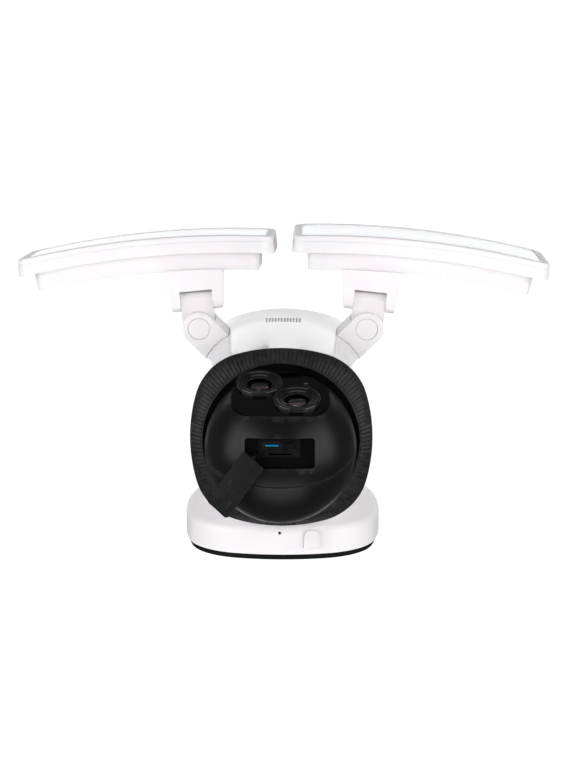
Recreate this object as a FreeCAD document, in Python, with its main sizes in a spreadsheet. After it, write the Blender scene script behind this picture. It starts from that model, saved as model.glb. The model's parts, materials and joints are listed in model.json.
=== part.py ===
import FreeCAD, Part
import math
import os
import re
import Sketcher
from FreeCAD import Placement, Rotation, Vector

# Floodlight security camera, in millimetres, as it hangs on a wall.
# The wall is the plane Y = 0 and the camera stands out from it towards -Y. +Z is up, and the origin
# is the middle of the back face, where the bracket and the gasket meet the wall.

doc = FreeCAD.newDocument("floodlight_camera")
sheet = doc.addObject("Spreadsheet::Sheet", "Sizes")

SIZES = {
    # wall plate and base
    "base_half_w": 51.0, "base_half_t": 55.0, "base_corner": 34.0, "base_bulge": 2.0,
    "gasket_depth": 3.0, "gasket_inset": 1.3, "gasket_land": 6.0,
    "back_ring_depth": 6.5, "back_ring_land": 5.5,
    "base_depth": 18.6, "base_round": 5.0, "base_wall": 3.0,
    "saddle_low": 3.0, "saddle_rise": 6.6, "saddle_inset": 15.0,
    "bracket_thick": 1.8, "bracket_half_w": 42.0, "bracket_half_t": 46.5, "bracket_arm": 11.0,
    "box_screw_pitch": 83.3, "round_box_pitch": 69.85, "box_screw_hole": 2.2,
    "wire_hole": 7.5, "wire_z": 20.0,
    "plug_x": 15.6, "plug_depth": 12.05, "plug_half": 4.1, "plug_thick": 1.15, "plug_gap": 0.15,
    "mic_x": -0.9, "mic_depth": 14.4, "mic_hole": 0.8,
    "base_screw_x": 31.0, "base_screw_z": 36.0, "screw_ear": 6.2, "screw_head": 2.8, "screw_shank": 1.5,
    # barrel
    "axis_out": 65.7, "barrel_half": 46.5, "barrel_corner": 30.0, "barrel_bulge": 2.0,
    "barrel_low": -57.5, "barrel_high": 54.0, "barrel_draft": 1.0, "barrel_wall": 2.5,
    "cap_high": 58.0, "cap_round": 2.4, "cap_skirt": 4.0,
    "slit_wide": 0.85, "slit_tall": 11.0, "slit_pitch": 1.6, "slit_count": 12, "slit_z": 20.5,
    # ribbed ring under the barrel
    "ring_hole": 39.6, "ring_low": -64.25, "ring_skirt": 4.5, "ring_skirt_inset": 2.7,
    # pan drive
    "chassis_low": -30.0, "chassis_thick": 3.0, "chassis_inset": 2.95,
    "pan_shaft": 6.0, "pan_bore": 3.2, "running": 0.05, "bearing_outer": 9.0,
    "pan_module": 0.8, "pan_gear_teeth": 48, "pan_pinion_teeth": 12, "pan_gear_low": -25.5,
    "pan_gear_thick": 4.0, "pan_motor_r": 10.0, "pan_motor_low": -19.0, "pan_motor_tall": 15.0,
    "table_r": 22.0, "table_low": -38.0, "table_thick": 2.5,
    # ball
    "ball_r": 38.2, "ball_wall": 2.4, "ball_drop": 79.0, "lens_dip": 18.2,
    "fork_half": 19.0, "fork_arm": 4.0, "fork_depth": 5.0, "fork_top": 24.0, "fork_bar": 4.0,
    "tilt_pin": 2.5, "trunnion_r": 6.0, "trunnion_in": 20.3, "trunnion_out": 35.75,
    "tilt_module": 0.5, "tilt_gear_teeth": 40, "tilt_pinion_teeth": 10, "tilt_gear_thick": 3.0,
    "tilt_motor_r": 6.0, "slot_half": 10.5, "slot_low": 5.3, "slot_span": 81.0,
    "seam_round": 0.3,
    # lens window and lenses, in the ball's own frame with the lenses towards -Y
    "window_half": 24.6, "window_low": -20.0, "window_high": 24.3, "window_face": 29.2,
    "window_thick": 2.0, "window_corner": 15.0, "belly_r": 38.0, "belly_drop": 2.0, "belly_half": 15.5,
    "wide_x": -10.6, "wide_z": 12.3, "tele_x": 8.3, "tele_z": -3.3,
    "bezel_r": 11.7, "bezel_tall": 2.0, "bezel_mouth": 10.6, "bezel_throat": 7.4, "bezel_hole": 6.4,
    "lens_r": 6.3, "lens_crown": 9.0, "barrel_r": 7.0, "barrel_back": 11.0,
    "board_back": 8.0, "board_thick": 1.6, "board_half": 19.5, "board_low": -12.0, "board_high": 23.0,
    # port compartment, on the underside of the ball
    "port_turn": 63.4, "port_half_w": 17.3, "port_half_t": 7.5, "port_floor": 28.0, "port_wall": 1.5,
    "port_corner": 1.6,
    "step_left": -10.5, "step_right": 10.2, "step_low": -2.3, "step_face": 30.2,
    "usb_x": -4.0, "usb_t": 3.4, "usb_w": 9.0, "usb_h": 3.3, "usb_deep": 5.0,
    "card_x": 0.0, "card_t": -0.9, "card_w": 12.0, "card_h": 1.2,
    "button_x": 4.9, "button_t": 3.3, "button_w": 5.0, "button_h": 2.2,
    "flap_length": 33.0, "flap_wide": 13.6, "flap_thick": 2.5, "flap_back": 1.85, "flap_side": 2.45,
    "flap_pin": 1.2, "flap_lift": 0.3,
    # arms
    "pivot_x": 44.2, "pivot_out": 109.6, "arm_low": 4.0, "arm_high": 26.0, "cheek": 4.5,
    "arm_r": 8.65, "arm_pin": 3.0, "pin_head": 5.4, "head_deep": 2.0, "arm_gap": 0.4,
    "link_r": 8.5, "link_tall": 12.6, "link_reach": 13.45, "link_head": 5.0, "lamp_pin": 2.0,
    # lamps, in their own frame: X outward along the lamp, -Y out of its face, Z up
    "roll_right": 6.4, "roll_left": 5.6, "lean_right": 4.0, "lean_left": 6.0,
    "lamp_in": 43.4, "lamp_out": 92.6, "lamp_low": -7.5, "lamp_high": 62.5, "lamp_corner": 8.0,
    "lamp_bow": 490.0, "lamp_face": 35.2, "frame_deep": 3.3, "rim_deep": 9.2, "rim_edge": 4.2,
    "housing_in": 35.9, "housing_out": 85.0, "housing_low": -4.5, "housing_high": 59.5,
    "housing_deep": 9.4, "housing_draft": 2.0, "lamp_wall": 2.0,
    "lug_half": 15.6, "lug_tip": 13.3, "lug_slot": 8.6, "lug_ceiling": 5.6, "lug_back": 5.0,
    "lug_root": 18.0, "lug_tall": 13.0,
    "led_thick": 1.6, "seal_thick": 0.8,
}
for row, (alias, size) in enumerate(SIZES.items(), start=1):
    sheet.set(f"A{row}", alias)
    sheet.set(f"B{row}", str(size))
    sheet.setAlias(f"B{row}", alias)
doc.recompute()

NODES = {}
SPOTS = {
    "barrel": ("0", "-axis_out", "0"),
    "ball": ("0", "-axis_out", "-ball_drop"),
}


# ---------------------------------------------------------------- building blocks

def rule(text):
    """An expression on the sheet: every word that names a cell is pointed at it."""
    return re.sub(r"[a-z]\w*", lambda w: f"Sizes.{w[0]}" if w[0] in SIZES else w[0], str(text))


def value(text):
    """The number that a rule stands for now."""
    return float(sheet.evalExpression(rule(text)))


def put(thing, spot, turn=None):
    """Turn an object, then bind its place to the sheet."""
    thing.Placement = Placement(Vector(), turn or Rotation())
    for axis, text in zip("xyz", spot):
        thing.setExpression(f"Placement.Base.{axis}", rule(text))
    return thing


def primitive(kind, name, spot, turn=None, **sizes):
    made = doc.addObject("Part::" + kind, name)
    for size, text in sizes.items():
        made.setExpression(size, rule(text))
    return put(made, spot, turn)


def box(name, x, y, z):
    """A block between two corners, each given as low and high rules."""
    long, wide, tall = (f"({high}) - ({low})" for low, high in (x, y, z))
    return primitive("Box", name, (x[0], y[0], z[0]), Length=long, Width=wide, Height=tall)


TURNS = {"x": Rotation(Vector(0, 1, 0), 90), "y": Rotation(Vector(1, 0, 0), -90), "z": Rotation()}


def rod(name, radius, along, ends, at=("0", "0")):
    """A round bar along one axis, from ends[0] to ends[1]; at gives its other two coordinates."""
    spot = list(at)
    spot.insert("xyz".index(along), ends[0])
    tall = f"({ends[1]}) - ({ends[0]})"
    return primitive("Cylinder", name, spot, TURNS[along], Radius=radius, Height=tall)


def join(name, *pieces):
    made = doc.addObject("Part::MultiFuse", name)
    made.Shapes = list(pieces)
    return made


def cut(name, base, *tools):
    made = doc.addObject("Part::Cut", name)
    made.Base = base
    made.Tool = tools[0] if len(tools) == 1 else join(name + "_tools", *tools)
    return made


def meet(name, first, second):
    made = doc.addObject("Part::Common", name)
    made.Base = first
    made.Tool = second
    return made


def group(name, made):
    """One or more solids held together, so that they can be turned or named as one."""
    whole = doc.addObject("Part::Compound", name)
    whole.Links = made
    return whole


def rounded(name, base, radius, wanted):
    """Round the edges of a block that wanted() picks."""
    doc.recompute()
    made = doc.addObject("Part::Fillet", name)
    made.Base = base
    size = value(radius)
    picked = [i for i, edge in enumerate(base.Shape.Edges, start=1) if wanted(edge)]
    made.Edges = [(i, size, size) for i in picked]
    return made


def runs_along(axis):
    """Picks straight edges along one axis."""
    def wanted(edge):
        start, end = edge.Vertexes[0].Point, edge.Vertexes[-1].Point
        span = end - start
        return abs(abs(getattr(span, axis)) - span.Length) < 1e-6
    return wanted


def reach(side, low, high):
    """Low and high rules of a stretch along X, mirrored on the left-hand side."""
    return (low, high) if side > 0 else (f"-({high})", f"-({low})")


def node(name, made, spot=None, turn=None):
    """Name a sub-part and, where it has a frame of its own, put it in its place."""
    made.Label = name
    NODES[name] = made
    if spot:
        put(made, spot, turn)
    return made


def plane(body, role):
    return next(f for f in body.Origin.OriginFeatures if f.Role == role)


def sketch(body, name, role, offset="0"):
    made = body.newObject("Sketcher::SketchObject", name)
    made.AttachmentSupport = (plane(body, role), [""])
    made.MapMode = "FlatFace"
    made.setExpression("AttachmentOffset.Base.z", rule(offset))
    return made


def constrain(drawn, label, constraint, text):
    number = drawn.addConstraint(constraint)
    drawn.renameConstraint(number, label)
    drawn.setExpression("Constraints." + label, rule(text))


def squircle(drawn, half_w, half_t, corner, bulge, inset="0"):
    """A soft square of eight tangent arcs: four flat side arcs and four corner arcs."""
    half_w, half_t, corner = (f"({size} - ({inset}))" for size in (half_w, half_t, corner))
    to_x, to_y = f"({half_w} - {corner} - {bulge})", f"({half_t} - {corner} - {bulge})"
    side = f"{half_w} + ({to_x}^2 + {to_y}^2 - ({half_w} - {corner})^2) / (2 * {bulge})"
    end = f"{half_t} + ({to_x}^2 + {to_y}^2 - ({half_t} - {corner})^2) / (2 * {bulge})"
    x, y, small, side_r, end_r = (value(text) for text in (to_x, to_y, corner, side, end))
    side_x, end_y = side_r - value(half_w), end_r - value(half_t)
    lean, rise = math.atan2(y, x + side_x), math.atan2(x, y + end_y)
    quarter = math.pi / 2
    plan = [
        (-side_x, 0, side_r, -lean, lean),
        (x, y, small, lean, quarter - rise),
        (0, -end_y, end_r, quarter - rise, quarter + rise),
        (-x, y, small, quarter + rise, 2 * quarter - lean),
        (side_x, 0, side_r, 2 * quarter - lean, 2 * quarter + lean),
        (-x, -y, small, 2 * quarter + lean, 3 * quarter - rise),
        (0, end_y, end_r, 3 * quarter - rise, 3 * quarter + rise),
        (x, -y, small, 3 * quarter + rise, 4 * quarter - lean),
    ]
    up = Vector(0, 0, 1)
    arcs = [
        drawn.addGeometry(Part.ArcOfCircle(Part.Circle(Vector(cx, cy, 0), up, r), a, b), False)
        for cx, cy, r, a, b in plan
    ]
    for i, arc in enumerate(arcs):
        drawn.addConstraint(Sketcher.Constraint("Tangent", arc, 2, arcs[(i + 1) % 8], 1))
    for i, mirror in ((3, -2), (7, -1)):
        drawn.addConstraint(Sketcher.Constraint("Symmetric", arcs[1], 3, arcs[i], 3, mirror))
    drawn.addConstraint(Sketcher.Constraint("Symmetric", arcs[3], 3, arcs[5], 3, -1))
    for i, j in ((1, 3), (1, 5), (1, 7), (0, 4), (2, 6)):
        drawn.addConstraint(Sketcher.Constraint("Equal", arcs[i], arcs[j]))
    constrain(drawn, "corner_size", Sketcher.Constraint("Radius", arcs[1], small), corner)
    constrain(drawn, "side_size", Sketcher.Constraint("Radius", arcs[0], side_r), side)
    constrain(drawn, "end_size", Sketcher.Constraint("Radius", arcs[2], end_r), end)
    constrain(drawn, "corner_x", Sketcher.Constraint("DistanceX", -1, 1, arcs[1], 3, x), to_x)
    constrain(drawn, "corner_y", Sketcher.Constraint("DistanceY", -1, 1, arcs[1], 3, y), to_y)
    return lean, rise


def circle(drawn, radius, at=("0", "0")):
    size, x, y = value(radius), value(at[0]), value(at[1])
    ring = drawn.addGeometry(Part.Circle(Vector(x, y, 0), Vector(0, 0, 1), size), False)
    tag = str(ring)
    constrain(drawn, "radius" + tag, Sketcher.Constraint("Radius", ring, size), radius)
    constrain(drawn, "across" + tag, Sketcher.Constraint("DistanceX", -1, 1, ring, 3, x), at[0])
    constrain(drawn, "upward" + tag, Sketcher.Constraint("DistanceY", -1, 1, ring, 3, y), at[1])


BASE = ("base_half_w", "base_half_t", "base_corner", "base_bulge")
BARREL = ("barrel_half", "barrel_half", "barrel_corner", "barrel_bulge")


def slab(body, name, role, outline, low, thick, inset="0", pocket=False):
    """Pad, or cut, one soft square: low is its start along the plane's normal."""
    drawn = sketch(body, name + "_outline", role, low)
    squircle(drawn, *outline, inset)
    made = body.newObject("PartDesign::Pocket" if pocket else "PartDesign::Pad", name)
    made.Profile = drawn
    made.setExpression("Length", rule(thick))
    made.Reversed = pocket
    return made


def funnel(body, name, role, outline, start, end, hollow=False):
    """Loft between two soft squares, each given as its offset and its inset."""
    drawn = []
    for tag, (offset, inset) in (("start", start), ("end", end)):
        drawn.append(sketch(body, f"{name}_{tag}", role, offset))
        squircle(drawn[-1], *outline, inset)
    kind = "PartDesign::SubtractiveLoft" if hollow else "PartDesign::AdditiveLoft"
    made = body.newObject(kind, name)
    made.Profile = drawn[0]
    made.Sections = [drawn[1]]
    made.Ruled = True
    return made


def gear(name, teeth, module, thick, bore):
    """A spur gear about Z from z = 0, with straight flanks, short teeth and easy backlash."""
    pitch_r = module * teeth / 2
    root, crown = pitch_r - module, pitch_r + 0.7 * module
    step = 2 * math.pi / teeth
    points = []
    for i in range(teeth):
        for radius, share in ((root, -0.24), (crown, -0.11), (crown, 0.11), (root, 0.24)):
            turn = step * (i + share)
            points.append(Vector(radius * math.cos(turn), radius * math.sin(turn), 0))
    outline = Part.makePolygon(points + points[:1])
    shape = Part.Face(outline).extrude(Vector(0, 0, thick))
    if bore:
        shape = shape.cut(Part.makeCylinder(bore, thick))
    made = doc.addObject("Part::Feature", name)
    made.Shape = shape
    return made


# ---------------------------------------------------------------- wall bracket and base

def wall_gasket():
    body = doc.addObject("PartDesign::Body", "wall_gasket")
    slab(body, "rubber", "XZ_Plane", BASE, "0", "gasket_depth", "gasket_inset")
    drawn = sketch(body, "opening_outline", "XZ_Plane", "gasket_depth")
    squircle(drawn, *BASE, "gasket_inset + gasket_land")
    made = body.newObject("PartDesign::Pocket", "opening")
    made.Profile = drawn
    made.Type = "ThroughAll"
    node("wall_gasket", body)


def base_back_ring():
    body = doc.addObject("PartDesign::Body", "base_back_ring")
    slab(body, "frame", "XZ_Plane", BASE, "gasket_depth", "back_ring_depth - gasket_depth")
    drawn = sketch(body, "opening_outline", "XZ_Plane", "back_ring_depth")
    squircle(drawn, *BASE, "back_ring_land")
    made = body.newObject("PartDesign::Pocket", "opening")
    made.Profile = drawn
    made.Type = "ThroughAll"
    ears = [
        rod(f"ear_{i}", "screw_ear", "y", ("-back_ring_depth", "-gasket_depth"), spot)
        for i, spot in enumerate(base_screw_spots())
    ]
    holes = [
        rod(f"ear_hole_{i}", "screw_shank + 0.2", "y", ("-back_ring_depth", "-gasket_depth"), spot)
        for i, spot in enumerate(base_screw_spots())
    ]
    node("base_back_ring", cut("back_ring", join("back_ring_ears", body, *ears), *holes))


def base_screw_spots():
    return [(f"{a} * base_screw_x", f"{b} * base_screw_z") for a in (-1, 1) for b in (-1, 1)]


def wall_bracket():
    """A pressed steel cross with holes for two sizes of outlet box, and a tab for the lock screw."""
    plate = ("-bracket_thick", "0")
    arm = ("-bracket_arm", "bracket_arm")
    upright = box("bracket_upright", arm, plate, ("-bracket_half_t", "bracket_half_t"))
    across = box("bracket_across", ("-bracket_half_w", "bracket_half_w"), plate, arm)
    tab_z = ("-bracket_half_t + 2", "-bracket_half_t + 2 + bracket_thick")
    tab = box("bracket_tab", ("plug_x - 5", "plug_x + 5"), ("-plug_depth - 3", "0"), tab_z)
    foot = box("bracket_foot", ("0", "plug_x + 5"), plate, ("-bracket_half_t + 2", "-bracket_half_t + 14"))
    blank = join("bracket_blank", upright, across, tab, foot)
    through = ("-bracket_thick - 1", "1")
    holes = [rod("bracket_wire_hole", "wire_hole", "y", through, ("0", "wire_z"))]
    for i, side in enumerate((-1, 1)):
        upper = ("0", f"{side} * box_screw_pitch / 2")
        outer = (f"{side} * round_box_pitch / 2", "0")
        holes.append(rod(f"box_hole_{i}", "box_screw_hole", "y", through, upper))
        holes.append(rod(f"round_hole_{i}", "box_screw_hole", "y", through, outer))
    tab_hole = ("-bracket_half_t", "-bracket_half_t + 5")
    holes.append(rod("tab_hole", "screw_shank", "z", tab_hole, ("plug_x", "-plug_depth")))
    node("wall_bracket", cut("bracket", blank, *holes))


def plug_arch(name, gap, low, high):
    """The plug's outline, a block with a half-round front, larger all round by gap."""
    half = f"plug_half + {gap}"
    across = (f"plug_x - ({half})", f"plug_x + {half}")
    block = box(name + "_block", across, ("-plug_depth", "-back_ring_depth"), (low, high))
    return join(name, block, rod(name + "_arch", half, "z", (low, high), ("plug_x", "-plug_depth")))


def base_shell():
    """The hollow base: a soft square tub with a saddle that the barrel lies in."""
    body = doc.addObject("PartDesign::Body", "base_tub")
    slab(body, "tub", "XZ_Plane", BASE, "back_ring_depth", "base_depth - back_ring_depth")
    doc.recompute()
    front = [
        f"Edge{i}" for i, edge in enumerate(body.Shape.Edges, start=1)
        if all(abs(v.Y + value("base_depth")) < 1e-3 for v in edge.Vertexes)
    ]
    edge_round = body.newObject("PartDesign::Fillet", "edge_round")
    edge_round.Base = (body.getObject("tub"), front)
    edge_round.setExpression("Radius", rule("base_round"))
    saddle_end = ("base_depth + saddle_rise", "saddle_inset")
    funnel(body, "saddle", "XZ_Plane", BASE, ("base_depth - 0.5", "saddle_low"), saddle_end)
    hollow = sketch(body, "hollow_outline", "XZ_Plane", "base_depth - base_wall")
    squircle(hollow, *BASE, "base_wall")
    pocket = body.newObject("PartDesign::Pocket", "hollow")
    pocket.Profile = hollow
    pocket.Type = "ThroughAll"
    bed = doc.addObject("PartDesign::Body", "barrel_bed")
    clear = "-0.1"
    funnel(bed, "bed", "XY_Plane", BARREL, ("barrel_low", clear), ("cap_high", f"barrel_draft + {clear}"))
    put(bed, SPOTS["barrel"])
    low = "-base_half_t"
    plug_hole = plug_arch("plug_hole", "plug_gap", f"{low} - 1", f"{low} + plug_thick")
    through = (f"{low} - 1", f"{low} + base_wall + 4")
    screw_hole = rod("lock_hole", "screw_shank + 0.2", "z", through, ("plug_x", "-plug_depth"))
    seat = f"{low} + base_wall"
    lock_spot = ("plug_x", "-plug_depth")
    head_hole = rod("lock_head_hole", "screw_head + 0.3", "z", (f"{low} - 1", seat), lock_spot)
    boss = rod("lock_boss", "screw_head + 1.2", "z", (seat, f"{seat} + 2"), lock_spot)
    mic = rod("mic_hole_tool", "mic_hole", "z", through, ("mic_x", "-mic_depth"))
    wires = rod("base_wire_hole", "wire_hole", "y", ("-base_depth - saddle_rise - 1", "0"), ("0", "wire_z"))
    inner = ("-base_depth + base_wall", "-back_ring_depth")
    posts = [rod(f"base_post_{i}", "3.6", "y", inner, spot) for i, spot in enumerate(base_screw_spots())]
    bores = [
        rod(f"base_bore_{i}", "screw_shank", "y", ("-back_ring_depth - 7", "-back_ring_depth"), spot)
        for i, spot in enumerate(base_screw_spots())
    ]
    tub = join("base_tub_boss", body, boss)
    blank = cut("base_blank", tub, bed, plug_hole, head_hole, screw_hole, mic, wires)
    node("base_shell", cut("base_bored", join("base_posts", blank, *posts), *bores))


def screw(name, head, shank, along, start, length, spot, flip=1):
    """A cap screw: its head starts at start, and flip says which way the shank runs."""
    def span(a, b):
        return (a, b) if flip > 0 else (b, a)
    neck = f"({start}) + {flip} * 1.8"
    cap = rod(name + "_head", head, along, span(start, neck), spot)
    rest = rod(name + "_shank", shank, along, span(start, f"({start}) + {flip} * ({length})"), spot)
    drive = rod(name + "_drive", "screw_shank * 0.7", along, span(start, f"({start}) + {flip} * 1"), spot)
    return cut(name, join(name + "_blank", cap, rest), drive)


def base_fittings():
    node("screw_plug", plug_arch("plug", "0", "-base_half_t", "-base_half_t + plug_thick"))
    seat = "-base_half_t + base_wall - 1.8"
    lock = screw("lock", "screw_head", "screw_shank - 0.1", "z", seat, "11.5", ("plug_x", "-plug_depth"))
    node("lock_screw", lock)
    screws = [
        screw(f"base_screw_{i}", "screw_head", "screw_shank - 0.05", "y", "1.8 - gasket_depth", "9", spot, -1)
        for i, spot in enumerate(base_screw_spots())
    ]
    node("base_screws", group("base_screw_set", screws))
    mic = rod("mic_can", "1", "z", ("-base_half_t + base_wall", "-base_half_t + base_wall + 1.5"),
              ("mic_x", "-mic_depth"))
    node("microphone", mic)
    block = box("terminal_body", ("-17", "17"), ("-base_depth + base_wall", "-8"), ("-33", "-21"))
    holes = [
        rod(f"terminal_hole_{i}", "2.2", "z", ("-34", "-20"), (f"{x}", "-12"))
        for i, x in enumerate((-10, 0, 10))
    ]
    node("terminal_block", cut("terminal", block, *holes))


# ---------------------------------------------------------------- barrel and what it holds

def body_shell():
    body = doc.addObject("PartDesign::Body", "barrel_body")
    top_inset = "barrel_draft * (barrel_high - barrel_low) / (cap_high - barrel_low)"
    funnel(body, "outside", "XY_Plane", BARREL, ("barrel_low", "0"), ("barrel_high", top_inset))
    low, high = ("barrel_low - 1", "barrel_wall"), ("barrel_high + 1", f"barrel_wall + {top_inset}")
    funnel(body, "inside", "XY_Plane", BARREL, low, high, hollow=True)
    put(body, SPOTS["barrel"])
    reach = ("-axis_out - barrel_half - 1", "-axis_out - barrel_half + barrel_wall + 2")
    tall = ("slit_z - slit_tall / 2", "slit_z + slit_tall / 2")
    count = int(value("slit_count"))
    slits = []
    for i in range(count):
        left = f"({i} - (slit_count - 1) / 2) * slit_pitch - slit_wide / 2"
        slits.append(box(f"slit_{i}", (left, f"{left} + slit_wide"), reach, tall))
    wires = rod("barrel_wire_hole", "wire_hole", "y", ("-axis_out + barrel_half - 8", "0"), ("0", "wire_z"))
    node("body_shell", cut("barrel", body, wires, *slits))


def top_cap():
    body = doc.addObject("PartDesign::Body", "cap_body")
    slope = "barrel_draft / (cap_high - barrel_low)"
    start = f"{slope} * (barrel_high - barrel_low)"
    funnel(body, "lid", "XY_Plane", BARREL, ("barrel_high", start), ("cap_high", "barrel_draft"))
    doc.recompute()
    top = [
        f"Edge{i}" for i, edge in enumerate(body.Shape.Edges, start=1)
        if all(abs(v.Z - value("cap_high")) < 1e-3 for v in edge.Vertexes)
    ]
    edge_round = body.newObject("PartDesign::Fillet", "lid_round")
    edge_round.Base = (body.getObject("lid"), top)
    edge_round.setExpression("Radius", rule("cap_round"))
    body.Tip = edge_round
    skirt_inset = "barrel_wall + barrel_draft + 0.15"
    slab(body, "skirt", "XY_Plane", BARREL, "barrel_high - cap_skirt", "cap_skirt + 0.5", skirt_inset)
    hollow = sketch(body, "skirt_hollow", "XY_Plane", "barrel_high")
    squircle(hollow, *BARREL, f"{skirt_inset} + 1.8")
    pocket = body.newObject("PartDesign::Pocket", "skirt_pocket")
    pocket.Profile = hollow
    pocket.setExpression("Length", rule("cap_skirt + 1"))
    node("top_cap", body, SPOTS["barrel"])


def ribbed_ring():
    """The sloping ring round the ball: a soft square outside, a round hole inside."""
    body = doc.addObject("PartDesign::Body", "ring_body")
    outer = sketch(body, "ring_outer", "XY_Plane", "barrel_low")
    lean, rise = squircle(outer, *BARREL)
    inner = sketch(body, "ring_inner", "XY_Plane", "ring_low")
    quarter = math.pi / 2
    stops = [-lean, lean, quarter - rise, quarter + rise]
    stops += [turn + math.pi for turn in stops] + [4 * quarter - lean]
    whole = Part.Circle(Vector(), Vector(0, 0, 1), value("ring_hole + 0.6"))
    arcs = [inner.addGeometry(Part.ArcOfCircle(whole, a, b), False) for a, b in zip(stops, stops[1:])]
    for arc in arcs:
        inner.addConstraint(Sketcher.Constraint("Coincident", arc, 3, -1, 1))
        size = Sketcher.Constraint("Radius", arc, value("ring_hole + 0.6"))
        constrain(inner, f"ring_size_{arc}", size, "ring_hole + 0.6")
    loft = body.newObject("PartDesign::AdditiveLoft", "ring_slope")
    loft.Profile = outer
    loft.Sections = [inner]
    loft.Ruled = True
    slab(body, "skirt", "XY_Plane", BARREL, "barrel_low - 0.1", "ring_skirt + 0.1", "ring_skirt_inset")
    hole = body.newObject("Sketcher::SketchObject", "ring_hole")
    hole.AttachmentSupport = (plane(body, "XY_Plane"), [""])
    hole.MapMode = "FlatFace"
    circle(hole, "ring_hole")
    pocket = body.newObject("PartDesign::Pocket", "ring_bore")
    pocket.Profile = hole
    pocket.Type = "ThroughAll"
    pocket.Midplane = True
    node("ribbed_ring", body, SPOTS["barrel"])


def chassis_plate():
    """The fixed floor of the barrel that carries the pan bearing and the motor."""
    body = doc.addObject("PartDesign::Body", "chassis_body")
    slab(body, "floor", "XY_Plane", BARREL, "chassis_low", "chassis_thick", "chassis_inset")
    drawn = sketch(body, "bearing_seat", "XY_Plane", "chassis_low")
    circle(drawn, "bearing_outer")
    pocket = body.newObject("PartDesign::Pocket", "bearing_bore")
    pocket.Profile = drawn
    pocket.Type = "ThroughAll"
    pocket.Midplane = True
    put(body, SPOTS["barrel"])
    top = "chassis_low + chassis_thick"
    posts = [
        rod(f"board_post_{i}", "2.6", "z", (f"{top} - 0.5", "5"), (f"{x}", f"-axis_out + {y}"))
        for i, (x, y) in enumerate([(-30, -22), (30, -22), (-30, 22), (30, 22)])
    ]
    node("chassis_plate", join("chassis", body, *posts))


def ring_piece(name, outer, inner, along, ends, at=("0", "0")):
    return cut(name + "_ring", rod(name + "_outside", outer, along, ends, at),
               rod(name + "_inside", inner, along, ends, at))


PAN_REACH = "pan_module * (pan_gear_teeth + pan_pinion_teeth) / 2"
TILT_REACH = "tilt_module * (tilt_gear_teeth + tilt_pinion_teeth) / 2"


def pan_drive():
    axis = ("0", "-axis_out")
    top = "chassis_low + chassis_thick"
    race = ("bearing_outer", "pan_shaft + running")
    node("pan_bearing", ring_piece("pan_bearing", *race, "z", ("chassis_low", top), axis))
    module, thick = value("pan_module"), value("pan_gear_thick")
    wheel = gear("pan_wheel", int(value("pan_gear_teeth")), module, thick, value("pan_shaft"))
    node("pan_gear", wheel, ("0", "-axis_out", "pan_gear_low"))
    teeth = int(value("pan_pinion_teeth"))
    pinion = gear("pan_pinion_teeth", teeth, module, thick, 0)
    spot = (PAN_REACH, "-axis_out")
    put(pinion, (*spot, "pan_gear_low"), Rotation(Vector(0, 0, 1), 180 + 180 / teeth))
    spindle = rod("pan_spindle", "1.5", "z", ("pan_gear_low", "pan_motor_low + 6"), spot)
    node("pan_pinion", join("pan_pinion_whole", pinion, spindle))
    can_top = "pan_motor_low + pan_motor_tall"
    can = rod("pan_motor_can", "pan_motor_r", "z", ("pan_motor_low", can_top), spot)
    legs = [
        rod(f"pan_motor_leg_{i}", "1.8", "z", (top, "pan_motor_low + 2"), (PAN_REACH, f"-axis_out + {y}"))
        for i, y in enumerate((-8, 8))
    ]
    bore = rod("pan_motor_bore", "1.5 + running", "z", ("pan_motor_low - 1", "pan_motor_low + 6.3"), spot)
    node("pan_motor", cut("pan_motor_whole", join("pan_motor_blank", can, *legs), bore))


def electronics():
    board = box("main_pcb", ("-34", "34"), ("-axis_out - 27", "-axis_out + 27"), ("5", "6.6"))
    chip = box("processor", ("-8", "8"), ("-axis_out - 8", "-axis_out + 8"), ("6.6", "8.4"))
    radio = box("radio_can", ("14", "30"), ("-axis_out - 20", "-axis_out - 6"), ("6.6", "9.2"))
    node("main_board", join("main_board_whole", board, chip, radio))
    wall = "-axis_out + barrel_half - barrel_wall"
    board = box("power_pcb", ("-26", "26"), (f"{wall} - 12", f"{wall} - 10.4"), ("9", "48"))
    coil = box("transformer", ("-20", "-2"), (f"{wall} - 26", f"{wall} - 12"), ("14", "30"))
    store = rod("capacitor", "6", "z", ("14", "34"), ("12", f"{wall} - 17.5"))
    node("power_board", join("power_board_whole", board, coil, store))
    front = "-axis_out - barrel_half + barrel_wall"
    magnet = rod("speaker_magnet", "9", "y", (f"{front} + 6", f"{front} + 13"), ("0", "slit_z"))
    cone = rod("speaker_cone", "13", "y", (f"{front} + 2.6", f"{front} + 6"), ("0", "slit_z"))
    node("speaker", join("speaker_whole", magnet, cone))
    siren = rod("siren_can", "12", "z", ("barrel_high - 14", "barrel_high - 5"), ("22", "-axis_out - 14"))
    sound = rod("siren_hole", "2", "z", ("barrel_high - 10", "barrel_high - 4"), ("22", "-axis_out - 14"))
    node("siren", cut("siren_whole", siren, sound))
    strip = box("antenna_strip", ("-30", "-2"), ("-axis_out - 32", "-axis_out - 24"),
                ("barrel_high - 1", "barrel_high"))
    node("antenna", strip)


# ---------------------------------------------------------------- pan head and ball

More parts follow.
